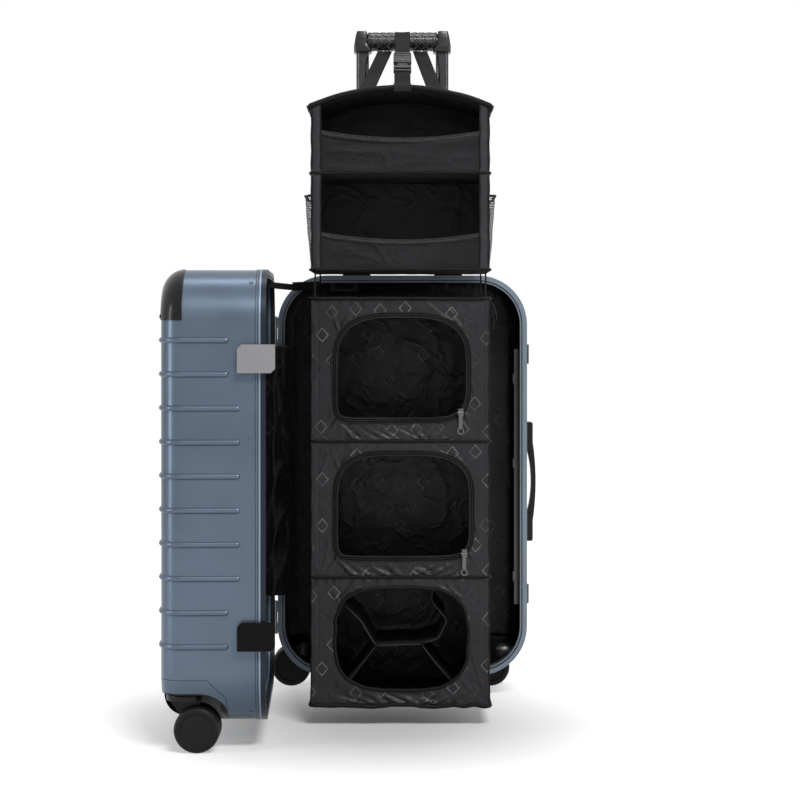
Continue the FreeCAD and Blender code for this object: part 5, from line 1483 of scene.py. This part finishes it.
def buckle_plates(seat):
    """The buckle's socket, plug, bars and rails, in millimetres along the strap from seat."""
    socket = [
        (10.5, 0), (13.0, 1.2), (13.6, 4.5), (13.2, 10.5),
        (13.8, 13.5), (13.8, 23.5), (12.6, 26.0), (8.4, 27.4),
    ]
    plug = [(7.4, 28.6), (7.4, 33.0), (9.4, 34.4), (12.6, 35.0), (13.6, 36.6), (13.6, 40.6)]
    plates = [
        plate("socket", mirrored(socket), 0.0078, 0, seat),
        plate("plug", mirrored(plug), 0.0062, 0, seat),
    ]
    for wide, first, last, thick, lift in (
        (11.2, 2.2, 4.2, 0.0016, 0.0038),
        (11.6, 6.4, 9.2, 0.0016, 0.0038),
        (9.4, 13.6, 24.4, 0.0014, 0.0039),
        (13.4, 45.2, 48.6, 0.0062, 0),
    ):
        plates.append(plate("bar", mirrored([(wide, first), (wide, last)]), thick, lift, seat, 0.0005))
    for s in (1, -1):
        rail = [(s * 11.6, 39.0), (s * 13.5, 39.0), (s * 13.5, 47.0), (s * 11.6, 47.0)]
        plates.append(plate("rail", rail, 0.0060, 0, seat, 0.0005))
    return plates


class TRUNK_OT_straps(bpy.types.Operator):
    """Model the webbing that hangs the closet from the grip, and its buckle"""

    bl_idname = "trunk.straps"
    bl_label = "Hanging Straps"

    def execute(self, context):
        low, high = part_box("handle_grip")
        grip_y, grip_z, radius = (low.y + high.y) / 2, (low.z + high.z) / 2, (high.z - low.z) / 2
        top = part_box("closet_straps")[1].z
        thick = 0.0015
        lie = ROOF_HIGH.z + GAP + thick / 2
        reach = min(radius + GAP + thick / 2, top - grip_z - thick / 2)
        back = np.array((0, BACK - 0.006, lie))
        away = np.array((back[1] - grip_y, back[2] - grip_z))
        # The angle at which the run leaves the grip
        leave = math.atan2(*away) + math.acos(reach / float(np.linalg.norm(away)))
        turns = np.linspace(math.radians(205), leave, 44)
        arc = [(0, grip_y + reach * math.sin(a), grip_z + reach * math.cos(a)) for a in turns]
        begin = np.array(arc[-1])
        toward = (back - begin) / np.linalg.norm(back - begin)
        out = np.array((0, toward[2], -toward[1]))
        buckle_at = float(np.linalg.norm(back - begin)) * 0.32
        before, after = begin + toward * (buckle_at + 0.004), begin + toward * (buckle_at + 0.044)
        hem_y, hem_top = FRONT - 0.0048, ROOF_HIGH.z - 0.0008
        over_roof = [
            after, back, (0, FRONT + 0.012, lie), (0, FRONT + 0.0005, lie + 0.0020),
            (0, hem_y, hem_top), (0, hem_y, hem_top - 0.0082),
        ]
        pieces = [
            strap("upper", arc + [before], 0.0235, thick, seed=1),
            strap("lower", over_roof, 0.0245, thick, seed=3),
        ]
        at_roof, inner_edge = 0.058, 0.0455  # from the middle, to each side strap's middle and inner edge
        rest = float(roof_top(np.array(MIDDLE + inner_edge))) + thick / 2 + GAP
        for s in (1, -1):
            x = MIDDLE + s * at_roof
            hung = (s * 0.0275, grip_y - 0.002, grip_z - radius - thick)
            run = [hung, (x, BACK + 0.001, rest + 0.001), (x, BACK - 0.030, rest)]
            pieces.append(strap("side", run, 0.0222, thick, seed=4 + s))
        webbing = dress(join("hanging_straps", pieces), "strap webbing")
        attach(webbing, "handle")
        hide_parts("closet_straps")
        plates = buckle_plates((begin + toward * buckle_at, np.array((1.0, 0, 0)), toward, out))
        buckle = dress(join("strap_buckle_halves", plates), "buckle moulding")
        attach(buckle, "handle")
        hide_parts("strap_buckle")
        return {"FINISHED"}


# ------------------------------------------------------------ linings and the fabric between the halves


class TRUNK_OT_linings(bpy.types.Operator):
    """Model the creased linings of both halves"""

    bl_idname = "trunk.linings"
    bl_label = "Linings"

    def execute(self, context):
        for node, body, seed in (("case_lining", "case", 151), ("lid_lining", "lid", 163)):
            copy = slack_copy(node, node + "_fabric", 0.010, 0.0035, seed)
            dress(copy, "lining nylon")
            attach(copy, body)
            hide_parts(node)
        return {"FINISHED"}


def lid_stay():
    """The strap that stops the lid, its sleeve and a tab at each end."""
    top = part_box("lid_stay_strap")[1].z
    level, sag = 0.6185, 0.004
    at_lid, at_case = np.array((-0.212, -0.180, level - 0.001)), np.array((-0.112, 0.026, level))
    up = np.array((0, 0, 1.0))
    along = (at_case - at_lid) / np.linalg.norm(at_case - at_lid)
    middle = (at_lid + at_case) / 2 - sag * up
    sleeve = [at_lid + along * 0.120 - 0.003 * up, at_case - along * 0.022]
    pieces = [
        strap("stay", [at_lid, middle, at_case], 0.009, 0.0011, across=up, seed=8),
        strap("sleeve", sleeve, 0.0125, 0.0028, across=up, seed=9, ripple=0.0007),
    ]
    for end in (at_lid + along * 0.006, at_case - along * 0.006):
        tab = [end - 0.002 * up, end + (top - level - 0.001) * up]
        pieces.append(strap("tab", tab, 0.0118, 0.0011, across=along, seed=10))
    webbing = dress(join("lid_stay", pieces), "strap webbing")
    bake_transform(webbing)
    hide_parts("lid_stay_strap")


class TRUNK_OT_hinge_cover(bpy.types.Operator):
    """Model the gusset over the hinges and the strap that stops the lid"""

    bl_idname = "trunk.hinge_cover"
    bl_label = "Hinge Gusset"

    def execute(self, context):
        low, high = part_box("hinge_cover")
        height = high.z - low.z
        hinge = next(j for j in frame["joints"] if j["name"] == "lid_hinge")["pos_m"][0]
        path = rounded([
            (low.x + 0.0008, low.y + 0.001), (hinge - 0.022, -0.022), (hinge, -0.029), (-0.167, -0.018),
            (-0.164, 0.012), (-0.170, 0.036), (high.x - 0.0130, high.y - 0.001),
        ], 0.006)
        path[:, 0] = np.clip(path[:, 0], low.x + 0.0005, high.x - 0.0005)
        run = span(path)

        def place(u, v):
            return xyz(*walk(path, u).T, low.z + 0.002 + (height - 0.004) * v)

        def relief(u, v, co):
            loose = np.sin(math.pi * np.clip(u, 0, 1)) ** 0.6
            return loose * (0.0045 * creases(co, (0.02, 0.02, 0.075), 171) - 0.002)

        cover = grid("hinge_gusset", 60, 150, place, (run, height), relief)
        thicken(cover, 0.0008)
        dress(cover, "lining nylon")
        hinge - 0.020
        hinge + 0.022
        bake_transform(cover)
        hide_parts("hinge_cover")
        lid_stay()
        return {"FINISHED"}


# ------------------------------------------------------------ studio


def soft_light(name, power, size, place, aim):
    data = bpy.data.lights.new(name, "AREA")
    data.energy, data.shape, data.size, data.size_y = power, "RECTANGLE", size[0], size[1]
    lamp = bpy.data.objects.new(name, data)
    bpy.context.scene.collection.objects.link(lamp)
    lamp.location = place
    x, y, z = np.array(aim, float) - np.array(place, float)
    lamp.rotation_euler = (math.atan2(math.hypot(x, y), -z), 0, math.atan2(-x, y))


def seen_by_camera(w):
    """1 where a ray comes from the camera, a gloss or a clear part, so that they all show the white room."""
    rays = w.node("LightPath")
    camera, gloss, clear = (
        Value(rays.outputs[f"Is {kind} Ray"]) for kind in ("Camera", "Glossy", "Transmission"))
    return math_node("MAXIMUM", math_node("MAXIMUM", camera, gloss), clear)


def pale_floor():
    """A floor that glows white away from the trunk and keeps its cast shadow. Round a spot on the floor under
    the front of the trunk its glow is dimmed into a painted shadow, which fades to white farther out.
    """
    deselect()
    bpy.ops.mesh.primitive_plane_add(size=14, location=(0, 0, 0))
    floor = bpy.context.object
    floor.name = "floor"
    made = bpy.data.materials.new("pale floor")
    made.use_nodes = True
    w, sockets = Wiring(made.node_tree), made.node_tree.nodes["Principled BSDF"].inputs
    put(sockets["Base Color"], (0.60, 0.60, 0.605, 1))
    put(sockets["Roughness"], 0.9)
    put(sockets["Specular IOR Level"], 0.1)
    put(sockets["Emission Color"], (1, 1, 1, 1))
    place, painted_shadow_centre = w.out("TexCoord", "Object"), (-0.03, -0.22, 0.0)
    away = w.out("VectorMath", "Value", enumerate((place, painted_shadow_centre)), operation="DISTANCE")
    # Painted shadow: the glow is least at the spot and rises to white farther out, and gloss rays see it too
    put(sockets["Emission Strength"], seen_by_camera(w) * w.ramp(away, 0.02, 0.62, 0.06, 0.92))
    floor.data.materials.append(made)


class TRUNK_OT_studio(bpy.types.Operator):
    """Set up the pale floor, the white room, the lights and the camera"""

    bl_idname = "trunk.studio"
    bl_label = "Studio"

    def execute(self, context):
        scene, studio = context.scene, context.scene.trunk_studio
        camera = bpy.data.objects.new("camera", bpy.data.cameras.new("camera"))
        scene.collection.objects.link(camera)
        camera.location = (0, -studio.distance, studio.eye)
        camera.rotation_euler = (math.radians(90), 0, 0)
        camera.data.lens, camera.data.sensor_width = studio.lens, 36
        camera.data.shift_x, camera.data.shift_y = -0.003, -0.094
        scene.camera = camera
        scene.view_settings.view_transform = "Standard"
        pale_floor()
        world = scene.world or bpy.data.worlds.new("room")
        scene.world = world
        world.use_nodes = True
        background = world.node_tree.nodes["Background"].inputs
        put(background["Color"], (1, 1, 1, 1))
        seen = seen_by_camera(Wiring(world.node_tree))
        put(background["Strength"], studio.room + seen * (1.0 - studio.room))
        soft_light("key", studio.key, (1.5, 0.7), (0.95, -2.5, 3.0), (-0.05, -0.1, 0.45))
        soft_light("left_strip", 2 * studio.strip, (0.30, 1.7), (-2.3, -1.15, 0.85), (-0.3, -0.3, 0.45))
        soft_light("right_strip", 1.4 * studio.strip, (0.10, 1.7), (2.2, -0.9, 0.85), (0.15, -0.1, 0.45))
        soft_light("top", studio.top, (1.3, 0.5), (0.0, 0.2, 3.2), (-0.05, -0.15, 0.3))
        return {"FINISHED"}


# ------------------------------------------------------------ panel and start


STEPS = (
    TRUNK_OT_studio, TRUNK_OT_links, TRUNK_OT_finishes, TRUNK_OT_caps, TRUNK_OT_grip, TRUNK_OT_roof,
    TRUNK_OT_upper_walls, TRUNK_OT_boards, TRUNK_OT_pockets, TRUNK_OT_tiers, TRUNK_OT_dividers,
    TRUNK_OT_straps, TRUNK_OT_linings, TRUNK_OT_hinge_cover,
)
SETTINGS = {"trunk_colours": TrunkColours, "trunk_fabric": TrunkFabric, "trunk_studio": TrunkStudio}


class TRUNK_PT_steps(bpy.types.Panel):
    """Everything that dresses the trunk, in the order it is made"""

    bl_idname = "TRUNK_PT_steps"
    bl_label = "Wardrobe Trunk"
    bl_space_type = "VIEW_3D"
    bl_region_type = "UI"
    bl_category = "Trunk"

    def draw(self, context):
        for step in STEPS:
            self.layout.operator(step.bl_idname)
        for name in SETTINGS:
            group = getattr(context.scene, name)
            box = self.layout.box()
            for key in group.__annotations__:
                box.prop(group, key)


def register():
    for kind in (*SETTINGS.values(), *STEPS, TRUNK_PT_steps):
        bpy.utils.register_class(kind)
    for name, kind in SETTINGS.items():
        setattr(bpy.types.Scene, name, bpy.props.PointerProperty(type=kind))


def unregister():
    for name in SETTINGS:
        delattr(bpy.types.Scene, name)
    for kind in reversed((*SETTINGS.values(), *STEPS, TRUNK_PT_steps)):
        bpy.utils.unregister_class(kind)


def main():
    register()
    for step in STEPS:
        group, name = step.bl_idname.split(".")
        getattr(getattr(bpy.ops, group), name)()


if __name__ == "__main__":
    main()
